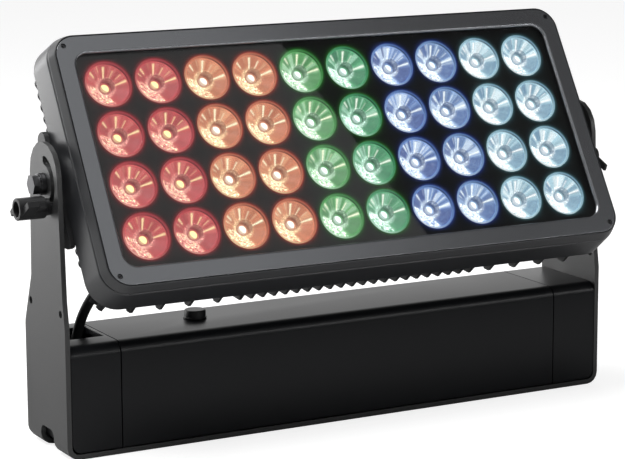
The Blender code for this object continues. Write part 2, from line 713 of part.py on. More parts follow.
def heat_sink():
    """Three finned castings: upright fins in the middle, level fins at both sides."""
    back = SINK_FLOOR_Z - SINK_DEPTH - SINK_BASE
    root = SINK_FLOOR_Z + SINK_BASE / 2
    half_fin = FIN_THICKNESS / 2
    beyond = HOUSING_Y + SINK_BASE
    half_middle = (MIDDLE_FINS - 1) * FIN_PITCH / 2 + FIN_THICKNESS
    upright = []
    for i in range(MIDDLE_FINS):
        x = (i - (MIDDLE_FINS - 1) / 2) * FIN_PITCH
        upright.append(block((x - half_fin, -beyond, back), (x + half_fin, beyond, root)))
    sink_casting("heat_sink_middle", -half_middle, half_middle, [("fins", upright)])
    start = half_middle + SINK_SPLIT
    rib_from = SIDE_FINS * FIN_PITCH / 2 - half_fin
    for name, sign in (("heat_sink_left", -1), ("heat_sink_right", 1)):
        level = []
        outer = sign * (HOUSING_X + SINK_BASE)
        for i in range(SIDE_FINS):
            y = (i - (SIDE_FINS - 1) / 2) * FIN_PITCH
            low, high = sorted((sign * (start + SINK_SPLIT), outer))
            level.append(block((low, y - half_fin, back), (high, y + half_fin, root)))
        ribs = []
        for i in range(END_RIBS):
            x = sign * (start + END_RIB_FIRST + i * END_RIB_PITCH)
            for end in (-1, 1):
                low, high = sorted((end * rib_from, end * beyond))
                ribs.append(
                    block((x - half_fin, low, SINK_FLOOR_Z - END_RIB_LENGTH), (x + half_fin, high, root))
                )
        low, high = sorted((sign * start, sign * (HOUSING_X + SINK_BASE)))
        part = sink_casting(name, low, high, [("fins", level), ("end_ribs", ribs)])
        if sign < 0:
            room = block(
                (-HOUSING_X - SINK_BASE, -HEAD_GLAND_DOWN - HEAD_GLAND_ROOM, back - SINK_BASE),
                (HEAD_GLAND_X + HEAD_GLAND_ROOM, -HEAD_GLAND_DOWN + HEAD_GLAND_ROOM, GLAND_PAD_Z),
            )
            combine(part, "DIFFERENCE", room, "gland_room")


def side_brackets():
    """Plates on the housing's ends that carry the pivot bolt and the lock stud."""
    outline = filleted(
        [
            (-BRACKET_DOWN, -BRACKET_BACK, BRACKET_HEEL),
            (BRACKET_UP, -BRACKET_BACK, BRACKET_BACK),
            (BRACKET_UP, BRACKET_FRONT, BRACKET_BACK),
            (-BRACKET_DOWN, BRACKET_FRONT, BRACKET_THICKNESS / 2),
        ]
    )
    holes = [ring((0, 0), BOLT_RADIUS + SEAM, 16), ring((-SLOT_RADIUS, 0), STUD_RADIUS + SEAM, 16)]
    for name, sign in (("side_bracket_left", -1), ("side_bracket_right", 1)):
        low, high = sorted((sign * BRACKET_X, sign * BRACKET_FACE_X))
        add_part(name, prism([outline] + holes, low, high, ALONG_X), BLACK_PLASTIC, head_axis)


def pivots():
    """On each side a friction disc, an outer washer and a flanged hexagon bolt.

    The left washer is a thick one, and the bolt heads' flats lie level at rest.
    """
    bore = ring((0, 0), BOLT_RADIUS + SEAM, 16)
    corner = BOLT_HEAD_FLATS / 2 / math.cos(math.pi / 6)
    tip = BRACKET_X + SEAM
    level = Matrix.Rotation(math.pi / 2 - REST_TILT, 4, "X") @ ALONG_X
    for side, sign, thickness in (("left", -1, WASHER_THICKNESS), ("right", 1, THIN_WASHER)):
        low, high = sorted((sign * DISC_X, sign * (DISC_X + DISC_THICKNESS)))
        disc = prism([ring((0, 0), DISC_RADIUS), bore], low, high, ALONG_X)
        add_part(f"friction_disc_{side}", disc, RUBBER, head_axis)
        low, high = sorted((sign * WASHER_X, sign * (WASHER_X + thickness)))
        washer = prism([ring((0, 0), WASHER_RADIUS), bore], low, high, ALONG_X)
        add_part(f"pivot_washer_{side}", washer, STEEL, head_axis)
        seat = WASHER_X + thickness + SEAM
        low, high = sorted((sign * (seat + SEAM), sign * (seat + BOLT_FLANGE + BOLT_HEAD_HEIGHT)))
        head = prism([ring((0, 0), corner, 6)], low, high, level)
        bolt = add_part(f"pivot_bolt_{side}", head, STEEL, head_axis)
        low, high = sorted((sign * seat, sign * (seat + BOLT_FLANGE)))
        combine(bolt, "UNION", prism([ring((0, 0), BOLT_FLANGE_RADIUS)], low, high, ALONG_X), "flange")
        low, high = sorted((sign * tip, sign * (seat + BOLT_FLANGE / 2)))
        combine(bolt, "UNION", prism([ring((0, 0), BOLT_RADIUS, 16)], low, high, ALONG_X), "shank")


def lock_knob(side, sign, length, hub, wing, angle):
    """Clamping knob on a steel stud: flange, hub with a hollow end, and a wing each way.

    A wing is given by its reach, its sides measured across it (the outer one at the hub
    and at the tip, then the inner one), its length along the knob and how far it stays
    below the hub's end. The stud is held in a blind hole of
    the knob, and passes through the arm's curved slot into the side bracket. Both are
    drawn along z from the bracket outwards and then laid along x.
    """
    lobes = KNOB_X + KNOB_FLANGE
    end = lobes + length
    socket = end - KNOB_SOCKET_DEPTH
    stud_end = min(KNOB_X + STUD_HELD, socket - KNOB_WALL)
    stud_hole = STUD_RADIUS + WELD
    profile = [
        (0, socket),
        (hub - KNOB_WALL, socket),
        (hub - KNOB_WALL, end),
        (hub, end),
        (hub, lobes),
        (KNOB_FLANGE_RADIUS, lobes),
        (KNOB_FLANGE_RADIUS, KNOB_X),
        (stud_hole, KNOB_X),
        (stud_hole, stud_end + WELD),
        (0, stud_end + WELD),
    ]
    outwards = Matrix.Rotation(sign * math.pi / 2, 4, "Y")
    body = turned(profile)
    body.transform(outwards)
    knob = add_part(f"lock_knob_{side}", body, BLACK_PLASTIC, head_axis)
    knob.location = (0, -SLOT_RADIUS, 0)
    bar = cylinder(STUD_RADIUS, BRACKET_X + SEAM, stud_end)
    bar.transform(outwards)
    stud = add_part(f"lock_stud_{side}", bar, STEEL, head_axis)
    stud.location = (0, -SLOT_RADIUS, 0)
    reach, (root_side, far, near), wing_length, sunk = wing
    low, high = sorted((sign * (end - sunk), sign * (end - sunk - wing_length)))
    inside = hub - KNOB_WALL / 4
    root = arc((0, 0), inside, math.asin(root_side / inside), math.asin(near / inside), CORNER_STEPS)
    for way in (-1, 1):
        outline = [(way * a, way * b) for a, b in root + [(reach, near), (reach, far)]]
        blade = prism([outline], low, high, Matrix.Rotation(angle, 4, "X") @ ALONG_X)
        combine(knob, "UNION", blade, f"wing_{1 if way < 0 else 2}")


def lock_knobs():
    """The long knob on the left arm and the short wing knob on the right one."""
    wing = (KNOB_WING, KNOB_WING_SIDES, KNOB_WING_LENGTH, KNOB_WING_SUNK)
    lock_knob("left", -1, KNOB_LENGTH, KNOB_HUB, wing, LEFT_KNOB_TURN)
    wing = (SHORT_KNOB_WING, SHORT_KNOB_WING_SIDES, SHORT_KNOB_WING_LENGTH, SHORT_KNOB_WING_SUNK)
    lock_knob("right", 1, SHORT_KNOB_LENGTH, SHORT_KNOB_HUB, wing, RIGHT_KNOB_TURN)


def lock_slot():
    """Curved slot round the pivot, as (y, z), from the lowest to the highest tilt."""
    centre = Vector((-PIVOT_FORWARD, PIVOT_HEIGHT))
    first = -math.pi / 2 - TILT_MIN
    last = -math.pi / 2 - TILT_MAX
    outer = arc(centre, SLOT_RADIUS + SLOT_HALF_WIDTH, first, last, SLOT_STEPS)
    inner = arc(centre, SLOT_RADIUS - SLOT_HALF_WIDTH, last, first, SLOT_STEPS)
    far = centre + SLOT_RADIUS * Vector((math.cos(last), math.sin(last)))
    near = centre + SLOT_RADIUS * Vector((math.cos(first), math.sin(first)))
    far_end = arc(far, SLOT_HALF_WIDTH, last, last - math.pi, 8)[1:-1]
    near_end = arc(near, SLOT_HALF_WIDTH, first + math.pi, first, 8)[1:-1]
    return outer + far_end + inner + near_end


def yoke():
    """Bent strip: a floor plate and two arms cut to their outline, slots and holes."""
    side, inside = YOKE_OUTSIDE_X, YOKE_INSIDE_X
    top = PIVOT_HEIGHT + ARM_TOP + SEAM
    bend, inner_bend = YOKE_BEND, YOKE_BEND - YOKE_THICKNESS
    strip_outline = filleted(
        [
            (top, -side, 0),
            (0, -side, bend),
            (0, side, bend),
            (top, side, 0),
            (top, inside, 0),
            (YOKE_THICKNESS, inside, inner_bend),
            (YOKE_THICKNESS, -inside, inner_bend),
            (top, -inside, 0),
        ]
    )
    half = YOKE_DEPTH / 2
    strip = prism([strip_outline], -half - SEAM, half + SEAM, ALONG_Y)
    part = add_part("yoke", strip, YOKE_PAINT)
    middle = -PIVOT_FORWARD
    crown = PIVOT_HEIGHT + ARM_TOP
    outline = filleted(
        [
            (-half, -SEAM, 0),
            (half, -SEAM, 0),
            (half, SHOULDER_BACK_HEIGHT, SHOULDER_FILLET),
            (middle + ARM_NECK_BACK, ARM_NECK_BACK_HEIGHT, SHOULDER_FILLET),
            (middle + ARM_HALF, crown, ARM_HALF - 2 * SEAM),
            (middle - ARM_HALF, crown, ARM_HALF - 2 * SEAM),
            (middle - ARM_NECK_FRONT, ARM_NECK_FRONT_HEIGHT, SHOULDER_FILLET),
            (-half, SHOULDER_FRONT_HEIGHT, SHOULDER_FILLET),
        ]
    )
    pivot_hole = ring((middle, PIVOT_HEIGHT), BOLT_RADIUS + 2 * SEAM, 16)
    holes = [pivot_hole, lock_slot()]
    for way in (-1, 1):
        place = (way * ARM_HOLE_SPREAD - ARM_HOLE_FORWARD, ARM_HOLE_HEIGHT)
        holes.append(ring(place, ARM_HOLE_RADIUS, 12))
    reach = side + SEAM
    slot = filleted(
        [
            (-BEND_SLOT_HALF, -YOKE_THICKNESS, 0),
            (BEND_SLOT_HALF, -YOKE_THICKNESS, 0),
            (BEND_SLOT_HALF, BEND_SLOT_HEIGHT, BEND_SLOT_RADIUS),
            (-BEND_SLOT_HALF, BEND_SLOT_HEIGHT, BEND_SLOT_RADIUS),
        ]
    )
    inner = side - BEND_SLOT_INWARD
    centre = (half - FOOT_CORNER + SEAM, FOOT_CORNER - SEAM)
    corner = arc(centre, FOOT_CORNER, -math.pi / 2, 0, 2 * CORNER_STEPS)
    corner.append((half + SEAM, -SEAM))
    cuts = []
    for low, high in ((inner, reach), (-reach, -inner)):
        cuts.append(prism([slot], low, high, ALONG_X))
    for low, high in ((side - bend, reach), (-reach, bend - side)):
        cuts.append(prism([corner], low, high, ALONG_X))
    hole = cylinder(CASE_SCREW_RADIUS + SEAM, -SEAM, YOKE_THICKNESS + SEAM, 12)
    cuts += [moved(hole, place) for place in case_screw_shifts()]
    combine(part, "DIFFERENCE", joined(cuts), "bends_and_holes")
    combine(part, "INTERSECT", prism([outline] + holes, -reach, reach, ALONG_X), "outline")


def case_outline(inset=0.0):
    """Cross-section of the driver case as (y, z), shrunk by inset."""
    low = CASE_BOTTOM_Z + inset
    high = CASE_TOP_Z - inset
    half = CASE_HALF_Y - inset
    shrink = min(inset, CASE_FOOT_RADIUS / 2)
    return filleted(
        [
            (-half, low, CASE_FOOT_RADIUS - shrink),
            (half, low, CASE_FOOT_RADIUS - shrink),
            (half, high, CASE_BACK_RADIUS - shrink),
            (-half, high, CASE_FRONT_RADIUS - inset),
        ]
    )


def case_screw_shifts():
    """Places of the four screws that hold the case to the yoke."""
    x, y = CASE_SCREW_SPREAD_X, CASE_SCREW_SPREAD_Y
    return [shift(x * i, y * j) for i, j in ((-1, -1), (1, -1), (1, 1), (-1, 1))]


def case_body():
    """Extruded tube of the case, cut at the back for the panel and the sockets."""
    tube = prism([case_outline(), case_outline(CASE_WALL)], -CASE_BODY_X, CASE_BODY_X, ALONG_X)
    part = add_part("case_body", tube, PAINT)
    outside = CASE_HALF_Y + SEAM
    inside = CASE_HALF_Y - CASE_WALL - SEAM
    panel = rounded(PANEL_HALF_Z + SEAM, PANEL_HALF_X + SEAM, PANEL_RADIUS)
    cuts = [moved(prism([panel], inside, outside, ALONG_Y), shift(z=PANEL_Z))]
    for x in SOCKET_X:
        hole = ring((PANEL_Z, x), SOCKET_RADIUS + SEAM, 16)
        cuts.append(prism([hole], inside, outside, ALONG_Y))
    vent = cylinder(VENT_NECK_RADIUS + SEAM, CASE_TOP_Z - CASE_WALL - SEAM, CASE_TOP_Z + SEAM, 16)
    cuts.append(moved(vent, shift(VENT_X, VENT_Y)))
    hole = cylinder(CASE_SCREW_RADIUS + SEAM, CASE_BOTTOM_Z - SEAM, CASE_FLOOR_Z + SEAM, 12)
    cuts += [moved(hole, place) for place in case_screw_shifts()]
    combine(part, "DIFFERENCE", joined(cuts), "openings")


def case_screws():
    """Four flush screws from under the yoke plate into the case."""
    for number, place in enumerate(case_screw_shifts(), 1):
        bar = cap_screw(CASE_SCREW_RADIUS, CASE_SCREW_RADIUS * 0.7, CASE_SCREW_HEAD, 0, -CASE_SCREW_LENGTH)
        screw = add_part(f"case_screw_{number}", bar, STEEL)
        screw.location = place.translation + Vector((0, 0, CASE_SCREW_SUNK))
        screw.rotation_euler = (math.pi, 0, 0)


def case_caps():
    """End castings; the left one has a well, open to the arm, for the tilt cable."""
    end_outline = filleted(
        [
            (CASE_BOTTOM_Z, 0, 0),
            (CASE_BOTTOM_Z, CASE_HALF_X, CASE_CAP_CORNER),
            (CASE_TOP_Z + SEAM, CASE_HALF_X, 0),
            (CASE_TOP_Z + SEAM, 0, 0),
        ]
    )
    reach = CASE_HALF_Y + SEAM
    rounding = prism([end_outline], -reach, reach, ALONG_Y)
    cap = prism([case_outline()], CASE_CAP_X, CASE_HALF_X, ALONG_X)
    hollow = prism(
        [case_outline(CASE_WALL + CASE_CAP_CORNER / 4)], CASE_CAP_X - SEAM, CAP_WALL_X, ALONG_X
    )
    mirror = Matrix.Scale(-1, 4, (1, 0, 0))
    right = add_part("case_cap_right", cap, PAINT)
    combine(right, "INTERSECT", rounding, "corner")
    combine(right, "DIFFERENCE", hollow, "hollow")
    left_cap, left_rounding, left_hollow = (flipped(mesh, mirror) for mesh in (cap, rounding, hollow))
    left = add_part("case_cap_left", left_cap, PAINT)
    combine(left, "INTERSECT", left_rounding, "corner")
    combine(left, "DIFFERENCE", left_hollow, "hollow")
    front, back = WELL_BACKWARD - WELL_HALF, WELL_BACKWARD + WELL_HALF
    tub = block(
        (-CAP_WALL_X - SEAM, front - WELL_WALL, WELL_FLOOR_Z - WELL_WALL),
        (-CASE_CAP_X - SEAM, back + WELL_WALL, CASE_TOP_Z - CASE_WALL / 2),
    )
    combine(left, "UNION", tub, "well_tub")
    well = block(
        (-CASE_HALF_X - SEAM, front, WELL_FLOOR_Z),
        (-CASE_CAP_X - WELL_WALL, back, CASE_TOP_Z + SEAM),
    )
    combine(left, "DIFFERENCE", well, "well")


def flipped(mesh, mirror):
    """Mirror image of a mesh with its faces still pointing out."""
    copy = moved(mesh, mirror)
    copy.flip_normals()
    return copy


def vent_plug():
    """Pressure vent in the top of the case: flanged cap on a short neck."""
    seat = CASE_TOP_Z + SEAM
    profile = [
        (0, seat + VENT_HEIGHT),
        (VENT_RADIUS - VENT_FLANGE, seat + VENT_HEIGHT),
        (VENT_RADIUS - VENT_FLANGE / 2, seat + VENT_HEIGHT - VENT_FLANGE / 2),
        (VENT_RADIUS - VENT_FLANGE / 2, seat + VENT_FLANGE),
        (VENT_RADIUS, seat + VENT_FLANGE),
        (VENT_RADIUS, seat),
        (VENT_NECK_RADIUS, seat),
        (VENT_NECK_RADIUS, CASE_TOP_Z - CASE_WALL),
        (0, CASE_TOP_Z - CASE_WALL),
    ]
    plug = add_part("vent_plug", turned(profile), BLACK_PLASTIC)
    plug.location = (VENT_X, VENT_Y, 0)


def power_supply():
    """Driver block on the case floor, under the front half."""
    low = CASE_FLOOR_Z + SEAM
    middle = -SUPPLY_FORWARD
    box = block(
        (-SUPPLY_HALF_X, middle - SUPPLY_HALF_Y, low),
        (SUPPLY_HALF_X, middle + SUPPLY_HALF_Y, low + SUPPLY_HEIGHT),
    )
    add_part("power_supply", box, ALUMINIUM, smooth=False)


def button_places():
    """Middle of each menu button along x."""
    return [BUTTON_FIRST_X - i * BUTTON_PITCH for i in range(BUTTON_COUNT)]


def control_panel():
    """Panel in the back wall with its display, buttons and the board behind them."""
    face = CASE_HALF_Y
    back = face - PANEL_THICKNESS
    display = rounded(DISPLAY_HALF_Z, DISPLAY_HALF_X, PANEL_RADIUS / 2)
    display = [(z, x + DISPLAY_X) for z, x in display]
    holes = [display] + [ring((0, x), BUTTON_RADIUS + SEAM, 16) for x in button_places()]
    plate = prism([rounded(PANEL_HALF_Z, PANEL_HALF_X, PANEL_RADIUS)] + holes, back, face, ALONG_Y)
    panel = add_part("control_panel", plate, BLACK_PLASTIC)
    panel.location = (0, 0, PANEL_Z)
    pane_outline = rounded(
        DISPLAY_HALF_Z - SEAM, DISPLAY_HALF_X - SEAM, PANEL_RADIUS / 2
    )
    pane = prism([pane_outline], face - DISPLAY_THICKNESS, face, ALONG_Y)
    window = add_part("display_window", pane, SCREEN)
    window.location = (DISPLAY_X, 0, PANEL_Z)
    end = face + BUTTON_PROUD
    for number, x in enumerate(button_places(), 1):
        cap = prism([ring((0, 0), BUTTON_RADIUS, 16)], end - BUTTON_LENGTH, end, ALONG_Y)
        button = add_part(f"menu_button_{number}", cap, RUBBER)
        button.location = (x, 0, PANEL_Z)
    front = end - BUTTON_LENGTH - BUTTON_TRAVEL - SEAM
    board_outline = rounded(PANEL_HALF_Z - SEAM, PANEL_HALF_X - SEAM, PANEL_RADIUS)
    board = add_part(
        "control_board", prism([board_outline], front - BOARD_THICKNESS, front, ALONG_Y), BOARD
    )
    board.location = (0, 0, PANEL_Z)
    posts = []
    inset = 2 * BOARD_POST_RADIUS
    for i in (-1, 1):
        for j in (-1, 1):
            place = (j * (PANEL_HALF_Z - inset), i * (PANEL_HALF_X - inset))
            outline = ring(place, BOARD_POST_RADIUS, 12)
            posts.append(prism([outline], front - BOARD_THICKNESS / 2, back - SEAM, ALONG_Y))
    combine(board, "UNION", joined(posts), "posts")


def sockets():
    """Power and data sockets: flange on the back wall and a hooded barrel through it."""
    outside = CASE_HALF_Y + SEAM
    end = outside + SOCKET_PROUD
    inside = outside - SOCKET_SHANK
    bottom = end - SOCKET_BORE_DEPTH
    barrel = turned(
        [
            (0, bottom),
            (SOCKET_BORE, bottom),
            (SOCKET_BORE, end),
            (SOCKET_RADIUS, end),
            (SOCKET_RADIUS, inside),
            (0, inside),
        ]
    )
    barrel.transform(Matrix.Rotation(-math.pi / 2, 4, "X"))
    flange_outline = rounded(SOCKET_FLANGE_HALF_Z, SOCKET_FLANGE_HALF_X, PANEL_RADIUS / 2)
    for name, x in zip(SOCKET_NAMES, SOCKET_X):
        flange = prism([flange_outline], outside, outside + SOCKET_FLANGE, ALONG_Y)
        socket = add_part(name, flange, BLACK_PLASTIC)
        socket.location = (x, 0, PANEL_Z)
        combine(socket, "UNION", barrel, "barrel")


def gland(name, parent):
    """Cable gland about z: hexagon at the seat, round dome, and a bore for the cable."""
    corner = GLAND_FLATS / 2 / math.cos(math.pi / 6)
    part = add_part(name, prism([ring((0, 0), corner, 6)], 0, GLAND_HEX), BLACK_PLASTIC, parent)
    bore = CABLE_RADIUS + SEAM
    top = GLAND_HEX + GLAND_DOME
    dome = turned(
        [
            (0, top - GLAND_BORE),
            (bore, top - GLAND_BORE),
            (bore, top),
            (GLAND_MOUTH_RADIUS, top),
            (GLAND_FLATS / 2 - SEAM, GLAND_HEX + GLAND_DOME / 2),
            (GLAND_FLATS / 2 - SEAM, GLAND_HEX / 2),
            (0, GLAND_HEX / 2),
        ],
        16,
    )
    combine(part, "UNION", dome, "dome")
    return part


def glands():
    """One gland on the back of the heat sink, one in the case's cable well."""
    head = gland("head_gland", head_axis)
    head.location = (HEAD_GLAND_X, -HEAD_GLAND_DOWN, GLAND_PAD_Z - SEAM)
    head.rotation_euler = (math.pi, 0, 0)
    case = gland("case_gland", None)
    case.location = (CASE_GLAND_X, CASE_GLAND_Y, WELL_FLOOR_Z + SEAM)


def tilt_cable():
    """Supply cable from the head's gland down into the gland in the case's well.

    It leaves each gland straight, and between their mouths it is one Bezier curve
    whose pulls are shares of the distance between the mouths.
    """
    bpy.context.view_layer.update()
    turn = head_axis.matrix_world
    mouth = GLAND_HEX + GLAND_DOME
    held = mouth - GLAND_BORE + SEAM
    seat = turn @ Vector((HEAD_GLAND_X, -HEAD_GLAND_DOWN, GLAND_PAD_Z - SEAM))
    out = turn.to_3x3() @ Vector((0, 0, -1))
    low = Vector((CASE_GLAND_X, CASE_GLAND_Y, WELL_FLOOR_Z + SEAM))
    up = Vector((0, 0, 1))
    start, end = seat + out * mouth, low + up * mouth
    span = (end - start).length
    leaving = start + out * span * CABLE_LEAVING_SHARE
    entering = end + up * span * CABLE_ENTERING_SHARE
    route = [seat + out * held]
    route += interpolate_bezier(start, leaving, entering, end, CABLE_STEPS)
    route.append(low + up * held)
    data = bpy.data.curves.new("cable", "CURVE")
    data.dimensions = "3D"
    data.bevel_depth = CABLE_RADIUS
    data.bevel_resolution = 3
    data.use_fill_caps = True
    spline = data.splines.new("POLY")
    spline.points.add(len(route) - 1)
    for point, place in zip(spline.points, route):
        point.co = (*place, 1)
    thing = bpy.data.objects.new("cable", data)
    cutters.objects.link(thing)
    add_part("tilt_cable", baked(thing), RUBBER)


yoke()
case_body()
case_caps()
case_screws()
vent_plug()
power_supply()
control_panel()
sockets()
head_housing()
front_bezel()
bezel_screws()
glass_stack()
lens_columns()
led_board()
heat_sink()
side_brackets()
pivots()
lock_knobs()
glands()
tilt_cable()
bpy.context.view_layer.update()
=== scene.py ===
"""LED wash panel, dressed for rendering: a forty-lens head in a U yoke over its driver case."""

import json
import math

import bmesh
import bpy
import numpy as np
from mathutils import Matrix, Vector


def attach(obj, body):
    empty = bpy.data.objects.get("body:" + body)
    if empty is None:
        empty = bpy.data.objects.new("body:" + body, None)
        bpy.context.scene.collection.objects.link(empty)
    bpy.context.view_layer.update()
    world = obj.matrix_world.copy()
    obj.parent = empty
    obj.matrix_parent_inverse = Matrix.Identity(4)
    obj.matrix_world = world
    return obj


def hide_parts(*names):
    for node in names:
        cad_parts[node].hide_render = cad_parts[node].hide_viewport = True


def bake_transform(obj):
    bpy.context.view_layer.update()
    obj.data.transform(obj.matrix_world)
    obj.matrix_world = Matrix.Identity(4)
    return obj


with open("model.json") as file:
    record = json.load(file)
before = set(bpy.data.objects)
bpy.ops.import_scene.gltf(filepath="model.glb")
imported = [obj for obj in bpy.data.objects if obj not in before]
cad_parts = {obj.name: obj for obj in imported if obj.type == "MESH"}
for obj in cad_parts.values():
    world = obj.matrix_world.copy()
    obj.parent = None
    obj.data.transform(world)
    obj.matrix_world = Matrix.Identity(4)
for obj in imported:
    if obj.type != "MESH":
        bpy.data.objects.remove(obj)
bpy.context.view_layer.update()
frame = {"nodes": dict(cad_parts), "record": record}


# Studio
# A pale floor before a white world, with a large soft box overhead, a weak card that shows as a
# slanted patch in the glass, a strip low in front and a small box behind. The camera is low left.

CAMERA_PLACE = (-0.91008, -1.65014, 0.50805)
CAMERA_TURN = math.radians(-28.5965)
CAMERA_DOWN = math.radians(10.7412)
CAMERA_ROLL = math.radians(-0.2342)
CAMERA_LENS = 135.64

camera_data = bpy.data.cameras.new("camera")
camera_data.lens = CAMERA_LENS
camera_data.sensor_width = 36.0
camera_data.clip_end = 50.0
camera = bpy.data.objects.new("camera", camera_data)
camera.matrix_world = (
    Matrix.Translation(CAMERA_PLACE)
    @ Matrix.Rotation(CAMERA_TURN, 4, "Z")
    @ Matrix.Rotation(math.pi / 2 - CAMERA_DOWN, 4, "X")
    @ Matrix.Rotation(CAMERA_ROLL, 4, "Z")
)
bpy.context.scene.collection.objects.link(camera)
bpy.context.scene.camera = camera
bpy.context.scene.view_settings.view_transform = "Standard"


def linked(tree, kind, inputs=None, **settings):
    """New shader node with its settings; inputs maps socket names to values or output sockets."""
    node = tree.nodes.new(kind)
    for key, value in settings.items():
        setattr(node, key, value)
    for key, value in (inputs or {}).items():
        socket = node.inputs[key]
        if isinstance(value, bpy.types.NodeSocket):
            tree.links.new(value, socket)
        else:
            socket.default_value = value
    return node


def studio_world():
    """White to the camera; glossy and transmission rays meet the same white behind the object.

    Elsewhere the strength is a floor plus smooth steps of the direction's y and of minus
    x, which leaves the front and the ceiling dim, as in a studio with black flags.
    """
    world = bpy.data.worlds.new("studio")
    world.use_nodes = True
    tree = world.node_tree
    tree.nodes.clear()
    place = linked(tree, "ShaderNodeTexCoord")
    split = linked(tree, "ShaderNodeSeparateXYZ", {"Vector": place.outputs["Generated"]})
    back = linked(
        tree, "ShaderNodeMapRange",
        {"Value": split.outputs["Y"], "From Min": 0.50, "From Max": 0.80, "To Min": 0.06, "To Max": 1.0},
        interpolation_type="SMOOTHSTEP",
    )
    side = linked(
        tree, "ShaderNodeMapRange",
        {"Value": split.outputs["X"], "From Min": 0.15, "From Max": -0.75, "To Min": 0.0, "To Max": 0.12},
        interpolation_type="SMOOTHSTEP",
    )
    total = linked(tree, "ShaderNodeMath", {0: back.outputs[0], 1: side.outputs[0]}, operation="ADD")
    rays = linked(tree, "ShaderNodeLightPath")
    mirrored = linked(
        tree, "ShaderNodeMath",
        {0: rays.outputs["Is Glossy Ray"], 1: rays.outputs["Is Transmission Ray"]}, operation="MAXIMUM",
    )
    behind = linked(
        tree, "ShaderNodeMapRange", {"Value": split.outputs["Y"], "From Min": 0.55, "From Max": 0.80},
        interpolation_type="SMOOTHSTEP",
    )
    shared = linked(
        tree, "ShaderNodeMath", {0: mirrored.outputs[0], 1: behind.outputs[0]}, operation="MULTIPLY"
    )
    shown = linked(
        tree, "ShaderNodeMath", {0: rays.outputs["Is Camera Ray"], 1: shared.outputs[0]}, operation="MAXIMUM"
    )
    level = linked(
        tree, "ShaderNodeMix", {"Factor": shown.outputs[0], "A": total.outputs[0], "B": 1.0},
        data_type="FLOAT",
    )
    sky = linked(tree, "ShaderNodeBackground", {"Strength": level.outputs[0], "Color": (1, 1, 1, 1)})
    linked(tree, "ShaderNodeOutputWorld", {"Surface": sky.outputs[0]})
    bpy.context.scene.world = world


studio_world()


def soft_box(name, place, aim, size, watts, roll=0.0):
    """Rectangular area lamp at a place, turned to face a point and then about its own axis."""
    data = bpy.data.lights.new(name, "AREA")
    data.shape = "RECTANGLE"
    data.size, data.size_y = size
    data.energy = watts
    lamp = bpy.data.objects.new(name, data)
    lamp.location = place
    facing = (Vector(aim) - Vector(place)).to_track_quat("-Z", "Y").to_matrix()
    lamp.rotation_euler = (facing @ Matrix.Rotation(math.radians(roll), 3, "Z")).to_euler()
    bpy.context.scene.collection.objects.link(lamp)


soft_box("overhead_box", (-0.75, 0.10, 1.9), (0, 0, 0.2), (1.5, 1.2), 40)
soft_box("front_card", (0.20, -0.66, 1.17), (-0.10, -0.05, 0.30), (0.58, 0.90), 0.55, 13)
soft_box("edge_strip", (0.74, -1.28, 0.66), (0, -0.04, 0.09), (2.4, 0.10), 5.0)
soft_box("rear_left_box", (-0.95, 1.55, 0.40), (-0.25, 0.0, 0.15), (0.7, 0.7), 6.0)


def new_material(name, colour, roughness, metallic=0.0):
    """Material with its Principled shader at constant values, and that shader."""
    made = bpy.data.materials.new(name)
    made.use_nodes = True
    shader = made.node_tree.nodes["Principled BSDF"]
    shader.inputs["Base Color"].default_value = (*colour, 1)
    shader.inputs["Roughness"].default_value = roughness
    shader.inputs["Metallic"].default_value = metallic
    return made, shader


def mesh_object(name, mesh):
    """Object at the origin for a finished mesh."""
    piece = bpy.data.objects.new(name, mesh)
    bpy.context.scene.collection.objects.link(piece)
    return piece


def stage_floor():
    """Flat pale floor, 12 m square, a touch under the object's lowest face.

    It glows a little to the camera, and behind the object also to glossy and
    transmission rays, so that it joins the white backdrop and keeps the shadow.
    """
    mesh = bpy.data.meshes.new("floor")
    half, low = 6.0, -0.0004
    corners = [(-half, -half, low), (half, -half, low), (half, half, low), (-half, half, low)]
    mesh.from_pydata(corners, [], [(0, 1, 2, 3)])
    made, shader = new_material("pale_floor", (0.50, 0.50, 0.50), 0.9)
    shader.inputs["Specular IOR Level"].default_value = 0.0
    tree = made.node_tree
    seen = linked(tree, "ShaderNodeLightPath")
    place = linked(tree, "ShaderNodeTexCoord")
    split = linked(tree, "ShaderNodeSeparateXYZ", {"Vector": place.outputs["Object"]})
    behind = linked(
        tree, "ShaderNodeMapRange",
        {"Value": split.outputs["Y"], "From Min": 0.05, "From Max": 1.3, "To Min": 0.0, "To Max": 0.6},
        interpolation_type="SMOOTHSTEP",
    )
    mirrored = linked(
        tree, "ShaderNodeMath",
        {0: seen.outputs["Is Glossy Ray"], 1: seen.outputs["Is Transmission Ray"]}, operation="MAXIMUM",
    )
    shared = linked(
        tree, "ShaderNodeMath", {0: mirrored.outputs[0], 1: behind.outputs[0]}, operation="MULTIPLY"
    )
    lift = linked(
        tree, "ShaderNodeMath", {0: seen.outputs["Is Camera Ray"], 1: 0.80, 2: shared.outputs[0]},
        operation="MULTIPLY_ADD",
    )
    shader.inputs["Emission Color"].default_value = (1, 1, 1, 1)
    tree.links.new(lift.outputs[0], shader.inputs["Emission Strength"])
    mesh.materials.append(made)
    floor = mesh_object("floor", mesh)


stage_floor()


# Yoke and driver case
# The yoke is one strip of 4 mm sheet, bent and powder coated in fine textured black.
# The case is an aluminium extrusion with two cast ends, painted in a smoother satin black.

MM = 0.001
MERGE_REACH = 0.01 * MM
FLAT_ANGLE = math.radians(0.5)
EDGE_ANGLE = math.radians(35)


